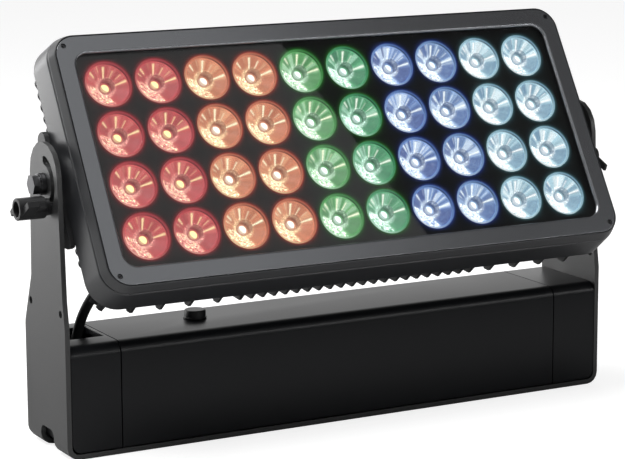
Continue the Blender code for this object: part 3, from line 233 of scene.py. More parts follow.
def grain_group():
    """Paint grain: fine and coarse noise for the height, and a slow drift for the gloss.

    Height is fine noise plus a third of coarse noise; Gloss is the base roughness
    plus the drift times its amount; Shade is one minus the same drift, for the colour.
    """
    group = bpy.data.node_groups.new("paint_grain", "ShaderNodeTree")
    for name, value in (("Grain per metre", 900.0), ("Gloss", 0.45), ("Drift", 0.06)):
        socket = group.interface.new_socket(name, in_out="INPUT", socket_type="NodeSocketFloat")
        socket.default_value = value
    group.interface.new_socket("Colour", in_out="INPUT", socket_type="NodeSocketColor")
    for name in ("Height", "Roughness"):
        group.interface.new_socket(name, in_out="OUTPUT", socket_type="NodeSocketFloat")
    group.interface.new_socket("Shade", in_out="OUTPUT", socket_type="NodeSocketColor")
    enter = group.nodes.new("NodeGroupInput")
    place = linked(group, "ShaderNodeTexCoord")
    fine = linked(
        group, "ShaderNodeTexNoise",
        {"Vector": place.outputs["Object"], "Scale": enter.outputs["Grain per metre"], "Detail": 2.0},
    )
    coarse = linked(
        group, "ShaderNodeTexNoise", {"Vector": place.outputs["Object"], "Scale": 9.0, "Detail": 4.0}
    )
    third = linked(group, "ShaderNodeMath", {0: coarse.outputs[0], 1: 0.33}, operation="MULTIPLY")
    height = linked(group, "ShaderNodeMath", {0: fine.outputs[0], 1: third.outputs[0]}, operation="ADD")
    centred = linked(group, "ShaderNodeMath", {0: coarse.outputs[0], 1: 0.5}, operation="SUBTRACT")
    drift = linked(
        group, "ShaderNodeMath", {0: centred.outputs[0], 1: enter.outputs["Drift"]}, operation="MULTIPLY"
    )
    rough = linked(
        group, "ShaderNodeMath", {0: drift.outputs[0], 1: enter.outputs["Gloss"]}, operation="ADD"
    )
    bright = linked(group, "ShaderNodeMath", {0: 1.0, 1: drift.outputs[0]}, operation="SUBTRACT")
    shade = linked(
        group, "ShaderNodeVectorMath", {0: enter.outputs["Colour"], "Scale": bright.outputs[0]},
        operation="SCALE",
    )
    leave = group.nodes.new("NodeGroupOutput")
    group.links.new(height.outputs[0], leave.inputs["Height"])
    group.links.new(rough.outputs[0], leave.inputs["Roughness"])
    group.links.new(shade.outputs[0], leave.inputs["Shade"])
    return group


paint_grain = grain_group()


def grained(name, colour, gloss, grain, bump, metallic=0.0, drift=0.08, specular=0.5):
    """Material with the paint grain's colour, roughness and bump."""
    made, shader = new_material(name, colour, gloss, metallic)
    shader.inputs["Specular IOR Level"].default_value = specular
    tree = made.node_tree
    texture = tree.nodes.new("ShaderNodeGroup")
    texture.node_tree = paint_grain
    texture.inputs["Colour"].default_value = (*colour, 1)
    texture.inputs["Gloss"].default_value = gloss
    texture.inputs["Drift"].default_value = drift
    texture.inputs["Grain per metre"].default_value = grain
    tree.links.new(texture.outputs["Shade"], shader.inputs["Base Color"])
    tree.links.new(texture.outputs["Roughness"], shader.inputs["Roughness"])
    relief = linked(
        tree, "ShaderNodeBump", {"Height": texture.outputs["Height"], "Strength": bump, "Distance": 0.0002}
    )
    tree.links.new(relief.outputs["Normal"], shader.inputs["Normal"])
    return made


body_of_node = {
    node: body for body, nodes in frame["record"]["behaviour"]["bodies"].items() for node in nodes
}


def dressed(node, look, edge=0.4 * MM, steps=2):
    """A node's own shape with its facets merged, its edges rounded and its curves smooth."""
    mesh = frame["nodes"][node].data.copy()
    work = bmesh.new()
    work.from_mesh(mesh)
    bmesh.ops.remove_doubles(work, verts=work.verts, dist=MERGE_REACH)
    bmesh.ops.dissolve_limit(work, angle_limit=FLAT_ANGLE, verts=work.verts, edges=work.edges)
    work.to_mesh(mesh)
    work.free()
    mesh.materials.clear()
    mesh.materials.append(look)
    mesh.shade_smooth()
    mesh.set_sharp_from_angle(angle=EDGE_ANGLE)
    piece = mesh_object(f"{node}_finish", mesh)
    if edge:
        rounding = piece.modifiers.new("edges", "BEVEL")
        rounding.width = edge
        rounding.segments = steps
        rounding.limit_method = "ANGLE"
        rounding.angle_limit = EDGE_ANGLE
        rounding.harden_normals = True
    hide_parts(node)
    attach(piece, body_of_node[node])


yoke_paint = grained("yoke_paint", (0.018, 0.0185, 0.019), 0.42, 1100.0, 0.5, specular=1.0)
case_paint = grained("case_paint", (0.008, 0.0085, 0.010), 0.31, 700.0, 0.2, specular=0.3)
dressed("yoke", yoke_paint, 0.5 * MM)
for node in ("case_body", "case_cap_left", "case_cap_right"):
    dressed(node, case_paint, 0.35 * MM)


# Small hardware of the yoke and case
# Blackened steel screws and bolts, moulded black plastic knobs, plug, glands and sockets.

steel = grained("black_zinc_steel", (0.12, 0.12, 0.125), 0.33, 500.0, 0.15, metallic=1.0)
plastic = grained("black_plastic", (0.012, 0.012, 0.013), 0.40, 1300.0, 0.35)
rubber = grained("black_rubber", (0.010, 0.010, 0.010), 0.62, 1600.0, 0.4)
for side in ("left", "right"):
    dressed(f"pivot_bolt_{side}", steel, 0.35 * MM)
    dressed(f"pivot_washer_{side}", steel, 0.25 * MM)
    dressed(f"friction_disc_{side}", rubber, 0.2 * MM)
    dressed(f"lock_knob_{side}", plastic, 0.5 * MM, 3)
    dressed(f"lock_stud_{side}", steel, 0.3 * MM)
    dressed(f"side_bracket_{side}", plastic, 0.4 * MM)
for number in range(1, 5):
    dressed(f"case_screw_{number}", steel, 0.15 * MM)
    dressed(f"menu_button_{number}", rubber, 0.3 * MM)
for node in ("vent_plug", "head_gland", "case_gland", "power_inlet", "power_outlet", "data_inlet",
             "data_outlet", "control_panel"):
    dressed(node, plastic, 0.3 * MM)

screen, screen_shader = new_material("display_screen", (0.010, 0.014, 0.022), 0.08)
screen_shader.inputs["Coat Weight"].default_value = 0.5
dressed("display_window", screen, 0.2 * MM)
board = grained("circuit_board", (0.02, 0.09, 0.045), 0.45, 300.0, 0.1)
dressed("control_board", board, 0.0)
driver = grained("driver_aluminium", (0.55, 0.55, 0.56), 0.35, 300.0, 0.1, metallic=1.0)
dressed("power_supply", driver, 0.4 * MM)


# Head housing and bezel
# A cast aluminium tub, powder coated dark grey, whose sloped band rises to a thin ridge round
# the flat front bezel. The bezel is a 2.4 mm frame held by four sunk socket screws.

TILT = math.radians(31.4)
PIVOT = np.array([0.0, -4.5, 209.8])


def head_space(local):
    """Head points (x, up the face, out of it) in mm to the row frame in metres.

    y = up times sin(tilt) minus out times cos(tilt), z = up times cos(tilt) plus out
    times sin(tilt), both counted from the pivot.
    """
    local = np.asarray(local, dtype=float)
    up, out = local[..., 1], local[..., 2]
    turned = np.stack(
        [
            local[..., 0],
            up * math.sin(TILT) - out * math.cos(TILT),
            up * math.cos(TILT) + out * math.sin(TILT),
        ],
        axis=-1,
    )
    return (turned + PIVOT) * MM


def rounded_rings(sections, steps=14):
    """Rounded rectangles (half x, half y, corner radius, height), one ring of points each.

    A corner point is the corner's centre plus the radius times (cos, sin) of its angle.
    """
    sections = np.asarray(sections, dtype=float)
    half_x, half_y, radius, height = (sections[:, i, None] for i in range(4))
    quarter = np.linspace(0, math.pi / 2, steps)
    angle = np.concatenate([quarter + i * math.pi / 2 for i in range(4)])
    sign_x = np.repeat([1, -1, -1, 1], steps)
    sign_y = np.repeat([1, 1, -1, -1], steps)
    x = sign_x * (half_x - radius) + radius * np.cos(angle)
    y = sign_y * (half_y - radius) + radius * np.sin(angle)
    return np.stack([x, y, np.broadcast_to(height, x.shape)], axis=-1)


def softened(sections, radius, steps=4):
    """Sections with each inner corner replaced by a short parabola.

    The parabola starts and ends on the two sides, at most radius or two fifths of a
    side away from the corner, and has the corner as its control point.
    """
    sections = np.asarray(sections, dtype=float)
    before, here, after = sections[:-2], sections[1:-1], sections[2:]
    reach_in = np.minimum(radius, 0.4 * np.linalg.norm(before - here, axis=1))[:, None]
    reach_out = np.minimum(radius, 0.4 * np.linalg.norm(after - here, axis=1))[:, None]
    start = here + (before - here) / np.linalg.norm(before - here, axis=1)[:, None] * reach_in
    end = here + (after - here) / np.linalg.norm(after - here, axis=1)[:, None] * reach_out
    t = np.linspace(0, 1, steps + 1)[None, :, None]
    curve = (
        (1 - t) ** 2 * start[:, None] + 2 * t * (1 - t) * here[:, None] + t**2 * end[:, None]
    )
    return np.concatenate([sections[:1], curve.reshape(-1, sections.shape[1]), sections[-1:]])


def grid_faces(rows, columns, along=False):
    """Four point numbers for each face of a grid that is closed round its columns.

    Faces join row i to i + 1 and column j to j + 1; with along, the last row joins the first.
    """
    i = np.arange(rows if along else rows - 1)[:, None]
    j = np.arange(columns)[None, :]
    next_i, next_j = (i + 1) % rows, (j + 1) % columns
    corners = np.broadcast_arrays(
        i * columns + j, i * columns + next_j, next_i * columns + next_j, next_i * columns + j
    )
    return np.stack(corners, axis=-1).reshape(-1, 4)


def skin(name, grid, along=False, caps=False, look=None, smooth=35):
    """Mesh over a grid of points (rows, columns, 3), with its two ends capped on request."""
    rows, columns = grid.shape[:2]
    faces = grid_faces(rows, columns, along).tolist()
    if caps:
        faces.append(list(range(columns))[::-1])
        faces.append(list(range((rows - 1) * columns, rows * columns)))
    mesh = bpy.data.meshes.new(name)
    mesh.from_pydata(grid.reshape(-1, 3), [], faces)
    if look:
        mesh.materials.append(look)
    mesh.shade_smooth()
    mesh.set_sharp_from_angle(angle=math.radians(smooth))
    return mesh


def outward(mesh):
    """Mesh with every face turned out of its closed body."""
    work = bmesh.new()
    work.from_mesh(mesh)
    bmesh.ops.recalc_face_normals(work, faces=work.faces)
    work.to_mesh(mesh)
    work.free()
    return mesh


def head_piece(name, mesh, *nodes):
    """Piece on the head in place of the named nodes."""
    piece = mesh_object(name, mesh)
    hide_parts(*nodes)
    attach(piece, "head")
    return piece


housing_paint = grained("housing_paint", (0.022, 0.023, 0.026), 0.38, 900.0, 0.35, specular=1.0)

HOUSING_SECTIONS = [
    (235.2, 109.2, 23.8, 7.0),
    (232.6, 106.6, 21.2, 31.3),
    (231.5, 105.5, 20.1, 31.5),
    (231.4, 105.4, 20.0, 32.4),
    (232.2, 106.2, 20.8, 32.7),
    (229.3, 103.3, 17.9, 41.0),
    (228.7, 102.7, 17.3, 41.0),
    (228.7, 102.7, 17.3, 38.6),
    (221.3, 95.3, 18.7, 38.6),
    (221.3, 95.3, 18.7, 32.5),
    (215.6, 89.6, 13.0, 32.5),
    (215.6, 89.6, 13.0, 29.0),
    (226.5, 100.5, 13.0, 29.0),
    (226.5, 100.5, 13.0, 11.0),
]


def housing_mesh():
    """Skin of the tub through its sections, with the outer corners softened."""
    outer = softened(HOUSING_SECTIONS[:7], 1.0)
    rear = np.array([[233.9, 107.9, 22.5, 7.0]])
    outside = softened(np.concatenate([rear, outer]), 0.9)[1:]
    sections = np.concatenate([rear, outside, HOUSING_SECTIONS[7:]])
    grid = head_space(rounded_rings(sections))
    return outward(skin("head_housing_finish", grid, caps=True, look=housing_paint, smooth=40))


head_piece("head_housing_finish", housing_mesh(), "head_housing")

bezel_paint = grained("bezel_paint", (0.36, 0.37, 0.39), 0.26, 900.0, 0.2, metallic=0.94)
BEZEL_SECTIONS = [
    (220.0, 95.0, 12.0, 38.9),
    (228.0, 102.0, 16.6, 38.9),
    (228.0, 102.0, 16.6, 41.3),
    (215.6, 89.6, 13.0, 41.3),
    (214.4, 88.4, 11.8, 41.0),
    (213.8, 87.8, 11.2, 40.3),
    (213.6, 87.6, 11.0, 38.9),
    (220.0, 95.0, 12.0, 38.9),
]


def bezel_mesh():
    """Closed frame through its sections; the first and last one are the same."""
    sections = softened(BEZEL_SECTIONS, 0.45, 3)[:-1]
    grid = head_space(rounded_rings(sections))
    return outward(skin("front_bezel_finish", grid, along=True, look=bezel_paint, smooth=30))


bezel = head_piece("front_bezel_finish", bezel_mesh(), "front_bezel")
BEZEL_SCREWS = [(x, y) for x in (-220.8, 220.8) for y in (-94.5, 94.5)]
SCREW_HOLE_RADIUS = 2.2
SCREW_HOLE_DEPTHS = (38.0, 42.0)
for number in range(1, 5):
    dressed(f"bezel_screw_{number}", steel, 0.12 * MM)


def drill(piece, places, radius, low, high, steps=20):
    """Round holes along the head's out direction, cut for good out of a piece."""
    angle = np.linspace(0, 2 * math.pi, steps, endpoint=False)
    work = bmesh.new()
    for x, y in places:
        ring = np.stack([x + radius * np.cos(angle), y + radius * np.sin(angle)], axis=-1)
        ends = np.stack([np.column_stack([ring, np.full(steps, depth)]) for depth in (low, high)])
        work.from_mesh(outward(skin("drill", head_space(ends), caps=True)))
    mesh = bpy.data.meshes.new("drill")
    work.to_mesh(mesh)
    work.free()
    cutter = mesh_object("drill", mesh)
    cut = piece.modifiers.new("holes", "BOOLEAN")
    cut.object = cutter
    cut.operation = "DIFFERENCE"
    bpy.context.view_layer.update()
    result = bpy.data.meshes.new_from_object(piece.evaluated_get(bpy.context.evaluated_depsgraph_get()))
    piece.modifiers.clear()
    result.name = piece.data.name
    piece.data = result
    bpy.data.objects.remove(cutter)


drill(bezel, BEZEL_SCREWS, SCREW_HOLE_RADIUS, *SCREW_HOLE_DEPTHS)
bezel.data.set_sharp_from_angle(angle=math.radians(30))
flat = bezel.modifiers.new("flat_faces", "WEIGHTED_NORMAL")
flat.keep_sharp = True


# Glass, gasket and mask
# A 2.9 mm pane of clear toughened glass lies on a black rubber gasket. Behind it a black
# plastic mask frames each lens, and takes a painted coloured glow round the lit rims, in place of their
# spill light.

GLASS = (221.0, 95.0, 18.4)
GLASS_DEPTHS = (35.7, 38.6)
GASKET_WINDOW = (217.0, 91.0, 14.4)
GASKET_DEPTHS = (34.6, 35.4)


def slab(name, outline, low, high, edge, look):
    """Flat plate with the rounded rectangle's outline and softened edges."""
    half_x, half_y, radius = outline
    sections = [
        (half_x - 3 * edge, half_y - 3 * edge, radius - 3 * edge, low),
        (half_x, half_y, radius, low),
        (half_x, half_y, radius, high),
        (half_x - 3 * edge, half_y - 3 * edge, radius - 3 * edge, high),
    ]
    grid = head_space(rounded_rings(softened(sections, edge)))
    return outward(skin(name, grid, caps=True, look=look))


glass, glass_shader = new_material("clear_glass", (0.97, 0.985, 0.98), 0.0)
glass_shader.inputs["Transmission Weight"].default_value = 1.0
glass_shader.inputs["IOR"].default_value = 1.5
head_piece("front_glass_pane", slab("front_glass_pane", GLASS, *GLASS_DEPTHS, 0.3, glass), "front_glass")


def frame_mesh(name, outer, inner, low, high, look):
    """Flat frame between two rounded rectangles."""
    sections = [(*inner, low), (*outer, low), (*outer, high), (*inner, high)]
    grid = head_space(rounded_rings(sections))
    return outward(skin(name, grid, along=True, look=look))


head_piece(
    "glass_gasket_ring",
    frame_mesh("glass_gasket_ring", GLASS, GASKET_WINDOW, *GASKET_DEPTHS, rubber),
    "glass_gasket",
)

LENS_PITCH = 42.0
LENS_CENTRES = np.array(
    [((i - 4.5) * LENS_PITCH, (j - 1.5) * LENS_PITCH) for i in range(10) for j in range(4)]
)
MASK_DEPTHS = (32.8, 34.3)
MASK_HOLE_RADIUS = 19.0
MASK_FIELD = (210.0, 84.0, 0.001)
# Painted glow: the light that each column casts on the mask round its rims, painted into the mask's
# emission, in linear light.
PAINTED_GLOW_TINTS = np.array(
    [(0.34, 0.012, 0.022)] * 2
    + [(0.36, 0.03, 0.012)] * 2
    + [(0.02, 0.16, 0.02)] * 2
    + [(0.02, 0.05, 0.24)] * 2
    + [(0.05, 0.13, 0.15)] * 2
)


def mask_mesh(look):
    """Plate with forty round holes: each lens's square is a fan from circle to square.

    For an angle a the inner point is the hole's radius times (cos a, sin a), and the
    outer one lies where that direction meets the square. Rings between them follow the
    way across to the power 1.6, so that they crowd at the rim for the painted glow.
    """
    steps, rings, hole = 48, 6, MASK_HOLE_RADIUS
    back, front = MASK_DEPTHS
    angle = np.arange(steps) / steps * 2 * math.pi
    direction = np.stack([np.cos(angle), np.sin(angle)], axis=-1)
    square = direction / np.abs(direction).max(axis=1, keepdims=True) * (LENS_PITCH / 2)
    across = (np.linspace(0, 1, rings) ** 1.6)[:, None, None]
    fan = hole * direction[None] * (1 - across) + square[None] * across
    points, faces, glow = [], [], []
    for centre, tint in zip(LENS_CENTRES, np.repeat(PAINTED_GLOW_TINTS, 4, axis=0)):
        wall = np.concatenate([np.full((1, steps, 1), back), np.full((rings, steps, 1), front)])
        flat = np.concatenate([fan[:1], fan])
        grid = np.concatenate([flat + centre, wall], axis=-1)
        faces.append(grid_faces(rings + 1, steps) + len(points) * grid.shape[0] * steps)
        # Painted glow that fades out from each rim.
        distance = np.linalg.norm(flat, axis=-1) - hole
        strength = np.exp(-distance / 0.9) * 0.75 + np.exp(-distance / 4.0) * 0.03
        glow.append(strength.reshape(-1, 1) * tint)
        points.append(grid.reshape(-1, 3))
    count = len(points) * len(points[0])
    border = rounded_rings([(*MASK_FIELD, front), (*GLASS, front), (*GLASS, back)])
    edge = grid_faces(*border.shape[:2])
    every = np.concatenate(points + [border.reshape(-1, 3)])
    mesh = bpy.data.meshes.new("lens_mask_plate")
    mesh.from_pydata(head_space(every), [], np.concatenate(faces + [edge + count]).tolist())
    colours = np.concatenate(glow + [np.zeros((border.reshape(-1, 3).shape[0], 3))])
    layer = mesh.color_attributes.new("glow", "FLOAT_COLOR", "POINT")
    layer.data.foreach_set("color", np.column_stack([colours, np.ones(len(colours))]).ravel())
    mesh.materials.append(look)
    return mesh


mask_look, mask_shader = new_material("mask_plastic", (0.004, 0.004, 0.0045), 0.6)
mask_shader.inputs["Specular IOR Level"].default_value = 0.2
# The mask's emission is the painted glow, in place of the lenses' spill light.
glow = linked(mask_look.node_tree, "ShaderNodeAttribute", attribute_name="glow")
mask_look.node_tree.links.new(glow.outputs["Color"], mask_shader.inputs["Emission Color"])
mask_shader.inputs["Emission Strength"].default_value = 1.0
head_piece("lens_mask_plate", mask_mesh(mask_look), "lens_mask")


# Lenses and emitters
# Each lens is a clear acrylic moulding: a thin rim, a honeycomb front face with a round well in
# it, and a cone behind, lit by the emitter at its foot. Four of them share one flat web.

# Profiles of radius and height, from the back centre to the rim, and from the foot to the centre.
LENS_SHELL = [(0.0, 14.6), (6.5, 14.6), (12.6, 22.8), (18.7, 31.0), (18.7, 34.35), (18.55, 34.6),
              (17.75, 34.6), (17.6, 34.4), (17.5, 33.5), (17.2, 33.2)]
CONE_FOOT = (4.6, 25.2)
CONE_CURVE = 1.15
EMITTER = [(4.3, 25.2), (3.7, 25.3), (3.0, 25.5), (1.9, 25.7), (0.0, 25.75)]
LENS_ANGLES = 120
CONE_RINGS = 28

# Column tints as written on a screen: smooth cone, pale sector of painted light, dark sector of painted
# shade, streaks of painted reflection, emitter.
RED = ((200, 72, 78), (246, 182, 166), (138, 38, 56), (255, 226, 170), (255, 236, 168))
ORANGE = ((220, 128, 96), (255, 228, 178), (156, 70, 56), (255, 250, 214), (255, 252, 236))
GREEN = ((92, 172, 98), (226, 252, 230), (30, 92, 44), (252, 252, 220), (240, 255, 248))
DEEP_GREEN = ((84, 170, 118), (220, 252, 238), (24, 88, 60), (248, 255, 238), (236, 255, 252))
BLUE = ((122, 156, 218), (236, 248, 255), (34, 58, 128), (246, 252, 255), (240, 252, 255))
PALE_BLUE = ((138, 172, 222), (240, 250, 255), (44, 76, 140), (248, 254, 255), (242, 252, 255))
WHITE = ((182, 222, 238), (252, 255, 255), (66, 112, 148), (255, 255, 255), (252, 255, 255))
COLUMN_TINTS = [RED, RED, ORANGE, ORANGE, GREEN, DEEP_GREEN, BLUE, PALE_BLUE, WHITE, WHITE]
# How far each column's painted light sector, painted shade sector and painted light and shade rays round the
# cone show.
PAINTED_LIGHT_SHARE = [0.80, 0.84, 0.95, 0.95, 1.0, 1.0, 1.0, 1.0, 1.0, 1.0]
PAINTED_SHADE_SHARE = [0.40, 0.30, 0.35, 0.35, 0.55, 0.60, 0.95, 0.90, 0.72, 0.68]
PAINTED_RAY_SHARE = [0.25, 0.25, 0.35, 0.35, 0.55, 0.60, 0.90, 0.90, 0.85, 0.85]
# Painted reflections of the lamps as bright streaks: angle and width in degrees, depth shares of both ends,
# least and most strength.
PAINTED_STREAKS = (
    (88, 3.4, 0.10, 0.80, 1.1, 1.1),
    (136, 3.2, 0.0, 0.50, 0.8, 0.8),
    (6, 3.4, 0.04, 0.78, 1.1, 1.1),
    (31, 1.6, 0.12, 0.60, 0.0, 0.7),
    (56, 2.4, 0.20, 0.75, 0.2, 0.9),
    (108, 1.6, 0.0, 0.45, 0.0, 0.5),
    (152, 2.0, 0.0, 0.40, 0.0, 0.6),
)


def screen_to_linear(colour):
    """Screen colour from 0 to 255 to linear light: ((c + 0.055) / 1.055) to the power 2.4."""
    share = np.asarray(colour, dtype=float) / 255
    return np.where(share <= 0.04045, share / 12.92, ((share + 0.055) / 1.055) ** 2.4)


def bump(value, centre, width):
    """Bell curve of an angle in degrees: e to the minus square of the turned distance / width."""
    away = (value - centre + 180) % 360 - 180
    return np.exp(-((away / width) ** 2))


def ramp(value, low, high):
    """Smooth step from 0 at low to 1 at high: 3 t squared minus 2 t cubed."""
    t = np.clip((value - low) / (high - low), 0, 1)
    return t * t * (3 - 2 * t)


def cone_light(angle, depth, tints, shares, random):
    """Colours over one lens's cone, from its angle in degrees and its depth share.

    The smooth tint takes painted light and shade rays over the upper half, a dark sector of
    painted shade at the lower right, painted shade bands at the upper left, a pale speckled
    sector of painted light at the lower left that is plain light next to the well, painted
    shade round the well, and narrow bright streaks down the cone that are painted reflections
    of the lamps. Speckles come from random numbers, fine ones and patches of three. The fourth
    value is how strongly painted sparkle highlights show there.
    """
    smooth, light, deep, streak = (screen_to_linear(tint) for tint in tints[:4])
    pale, dark, rays = shares
    shift = random.normal(0, 2.5)
    rows, columns = depth.shape[0], angle.shape[1]
    fine = random.random((rows, columns))
    broad = random.random((rows // 3 + 1, columns // 3))
    broad = np.repeat(np.repeat(broad, 3, axis=0)[:rows], 3, axis=1)
    around = random.random((1, columns))
    around = (around + np.roll(around, 1, axis=1) + np.roll(around, 2, axis=1)) / 3
    slow = np.sin(np.radians(angle * 3 + random.uniform(0, 360))) * np.sin(np.radians(angle * 5 + 40))
    level = 0.56 + 0.24 * around + 0.12 * slow + 0.10 * (1 - depth)
    colour = smooth * level[..., None]
    ray = np.roll(around, 7, axis=1) + 0.3 * slow
    upper = (1 - ramp(angle, 160, 185)) + ramp(angle, 345, 358)
    upper = upper * ramp(depth, 0.0, 0.15) * (1 - ramp(depth, 0.70, 0.95))
    # Painted light and shade rays over the upper half.
    bright = (rays * upper * ramp(ray, 0.50, 0.72))[..., None]
    faint = (rays * upper * (1 - ramp(ray, 0.28, 0.46)))[..., None]
    colour = colour * (1 - 0.55 * bright) + light * 0.55 * bright
    colour = colour * (1 - 0.60 * faint) + deep * 0.60 * faint
    # Painted shade: a dark sector at the lower right and dark bands at the upper left.
    lower_right = ramp(angle, 281 + shift, 291 + shift) * (1 - ramp(angle, 345, 358))
    bands = ramp(angle, 98, 106) * (1 - ramp(angle, 170, 180)) * (around > 0.5 + 0.12 * slow)
    gloom = lower_right * (0.70 + 0.30 * broad) * (1 - 0.5 * ramp(depth, 0.75, 1.0))
    gloom = np.clip(gloom + 0.9 * bands * (1 - ramp(depth, 0.45, 0.85)), 0, 1)
    colour = colour * (1 - dark * gloom[..., None]) + deep * dark * gloom[..., None]
    # Painted light: a pale speckled sector at the lower left and a pale ring.
    lower_left = ramp(angle, 170 + shift, 180 + shift) * (1 - ramp(angle, 270 + shift, 282 + shift))
    patches = np.clip(0.30 + 1.15 * (broad - 0.35) + 0.50 * (fine > 0.62), 0, 1)
    ring = bump(depth * 360, 285, 45) * (0.2 + 0.8 * (fine > 0.6)) * (1 - lower_left)
    painted_light_mask = np.clip(pale * lower_left * patches + pale * 0.6 * ring, 0, 1)[..., None]
    colour = colour * (1 - painted_light_mask) + light * painted_light_mask
    # Painted shade round the well.
    well = bump(angle, 45, 75) * ramp(depth, 0.80, 0.86) + 0.5 * bump(depth * 360, 276, 7)
    colour = colour * (1 - 0.45 * np.clip(well, 0, 1)[..., None])
    # Painted sparkle highlights in the pale sector.
    spark = lower_left * (fine > 0.76) * (broad > 0.4) * pale * 1.2
    # Painted light next to the well at the lower left.
    near_well = ramp(depth, 0.62, 0.90) * bump(angle, 232, 95)
    colour = colour + (light - colour) * 0.75 * near_well[..., None]
    # Painted streaks: reflections of the lamps down the cone.
    for centre, width, start, end, least, most in PAINTED_STREAKS:
        strength = most if least == most else random.uniform(least, most)
        window = ramp(depth, start, start + 0.08) * (1 - ramp(depth, end - 0.15, end + 0.05))
        spark = np.maximum(spark, bump(angle, centre + shift, width) * window * strength)
    spark = np.clip(spark, 0, 1)[..., None]
    colour = colour * (1 - spark) + streak * spark
    # Strength of the painted glints that the material adds.
    painted_glint_strength = np.clip(pale * lower_left * (0.5 + 0.5 * broad) + 0.7 * pale * ring, 0, 1)
    return np.concatenate([colour, painted_glint_strength[..., None]], axis=-1)


def rim_light(angle, tints):
    """Colours round the rim: painted light at the lower left, painted shade at the upper right."""
    smooth, light, deep = (screen_to_linear(tint) for tint in tints[:3])
    lower_left = bump(angle, 228, 52)[..., None]
    upper_right = bump(angle, 40, 75)[..., None]
    colour = smooth * (1 - 0.85 * lower_left) + light * 0.85 * lower_left
    return colour * (1 - 0.65 * upper_right) + deep * 0.65 * upper_right


def revolved(centres, profile, angles):
    """Rings of points about each centre: profile radius times (cos, sin), at its height."""
    turn = np.linspace(0, 2 * math.pi, angles, endpoint=False)
    profile = np.asarray(profile, dtype=float)
    flat = profile[:, None, :1] * np.stack([np.cos(turn), np.sin(turn)], axis=-1)[None]
    flat = centres[:, None, None, :] + flat[None]
    height = np.broadcast_to(profile[None, :, None, 1:], flat.shape[:3] + (1,))
    return np.concatenate([flat, height], axis=-1)


def revolved_mesh(name, centres, profile, angles, lit, looks, zone=None, ring_closed=False):
    """Bodies of revolution with four values at each point and a plan-view UV in lens pitches.

    A profile with a zero radius at both ends is closed by two poles; with ring_closed its
    last ring joins its first.
    """
    grid = revolved(centres, profile, angles)
    lenses, rings = grid.shape[:2]
    rows = rings if ring_closed else rings - 1
    first_point = np.arange(lenses)[:, None, None] * rings * angles
    quads = (first_point + grid_faces(rings, angles, ring_closed)[None]).reshape(-1, 4)
    mesh = bpy.data.meshes.new(name)
    mesh.from_pydata(head_space(grid.reshape(-1, 3)), [], quads.tolist())
    tint = mesh.color_attributes.new("lit", "FLOAT_COLOR", "POINT")
    tint.data.foreach_set("color", lit.ravel().astype(np.float32))
    plan = mesh.uv_layers.new(name="plan")
    corner = grid.reshape(-1, 3)[quads.ravel(), :2] / LENS_PITCH
    plan.data.foreach_set("uv", corner.ravel().astype(np.float32))
    for look in looks:
        mesh.materials.append(look)
    if zone is not None:
        which = np.broadcast_to(np.asarray(zone)[None, :, None], (lenses, rows, angles)).reshape(-1)
        mesh.polygons.foreach_set("material_index", which.astype(np.int32))
    work = bmesh.new()
    work.from_mesh(mesh)
    bmesh.ops.remove_doubles(work, verts=work.verts, dist=1e-7)
    bmesh.ops.recalc_face_normals(work, faces=work.faces)
    work.to_mesh(mesh)
    work.free()
    mesh.shade_smooth()
    mesh.set_sharp_from_angle(angle=math.radians(40))
    return mesh


def honeycomb_group():
    """Hexagon cells on a plan: the nearer of two offset rectangular lattices' centres.

    Each lattice has cells of 1 by the square root of 3; Cell is the distance to the
    nearest centre, from 0 to about 0.58 at a corner.
    """
    group = bpy.data.node_groups.new("honeycomb", "ShaderNodeTree")
    group.interface.new_socket("Plan", in_out="INPUT", socket_type="NodeSocketVector")
    size = group.interface.new_socket("Cells a pitch", in_out="INPUT", socket_type="NodeSocketFloat")
    size.default_value = 30.0
    group.interface.new_socket("Cell", in_out="OUTPUT", socket_type="NodeSocketFloat")
    enter = group.nodes.new("NodeGroupInput")
    scaled = linked(
        group, "ShaderNodeVectorMath",
        {0: enter.outputs["Plan"], "Scale": enter.outputs["Cells a pitch"]}, operation="SCALE",
    )
    lengths = []
    for offset in ((0.0, 0.0, 0.0), (0.5, math.sqrt(3) / 2, 0.0)):
        moved = linked(group, "ShaderNodeVectorMath", {0: scaled.outputs[0], 1: offset}, operation="ADD")
        wrapped = linked(
            group, "ShaderNodeVectorMath",
            {0: moved.outputs[0], 1: (1.0, math.sqrt(3), 1000.0), 2: (0.0, 0.0, 0.0)}, operation="WRAP",
        )
        centred = linked(
            group, "ShaderNodeVectorMath", {0: wrapped.outputs[0], 1: (0.5, math.sqrt(3) / 2, 0.0)},
            operation="SUBTRACT",
        )
        flat = linked(
            group, "ShaderNodeVectorMath", {0: centred.outputs[0], 1: (1.0, 1.0, 0.0)}, operation="MULTIPLY"
        )
        lengths.append(linked(group, "ShaderNodeVectorMath", {0: flat.outputs[0]}, operation="LENGTH"))
    nearest = linked(
        group, "ShaderNodeMath", {0: lengths[0].outputs["Value"], 1: lengths[1].outputs["Value"]},
        operation="MINIMUM",
    )
    leave = group.nodes.new("NodeGroupOutput")
    group.links.new(nearest.outputs[0], leave.inputs["Cell"])
    return group


honeycomb = honeycomb_group()


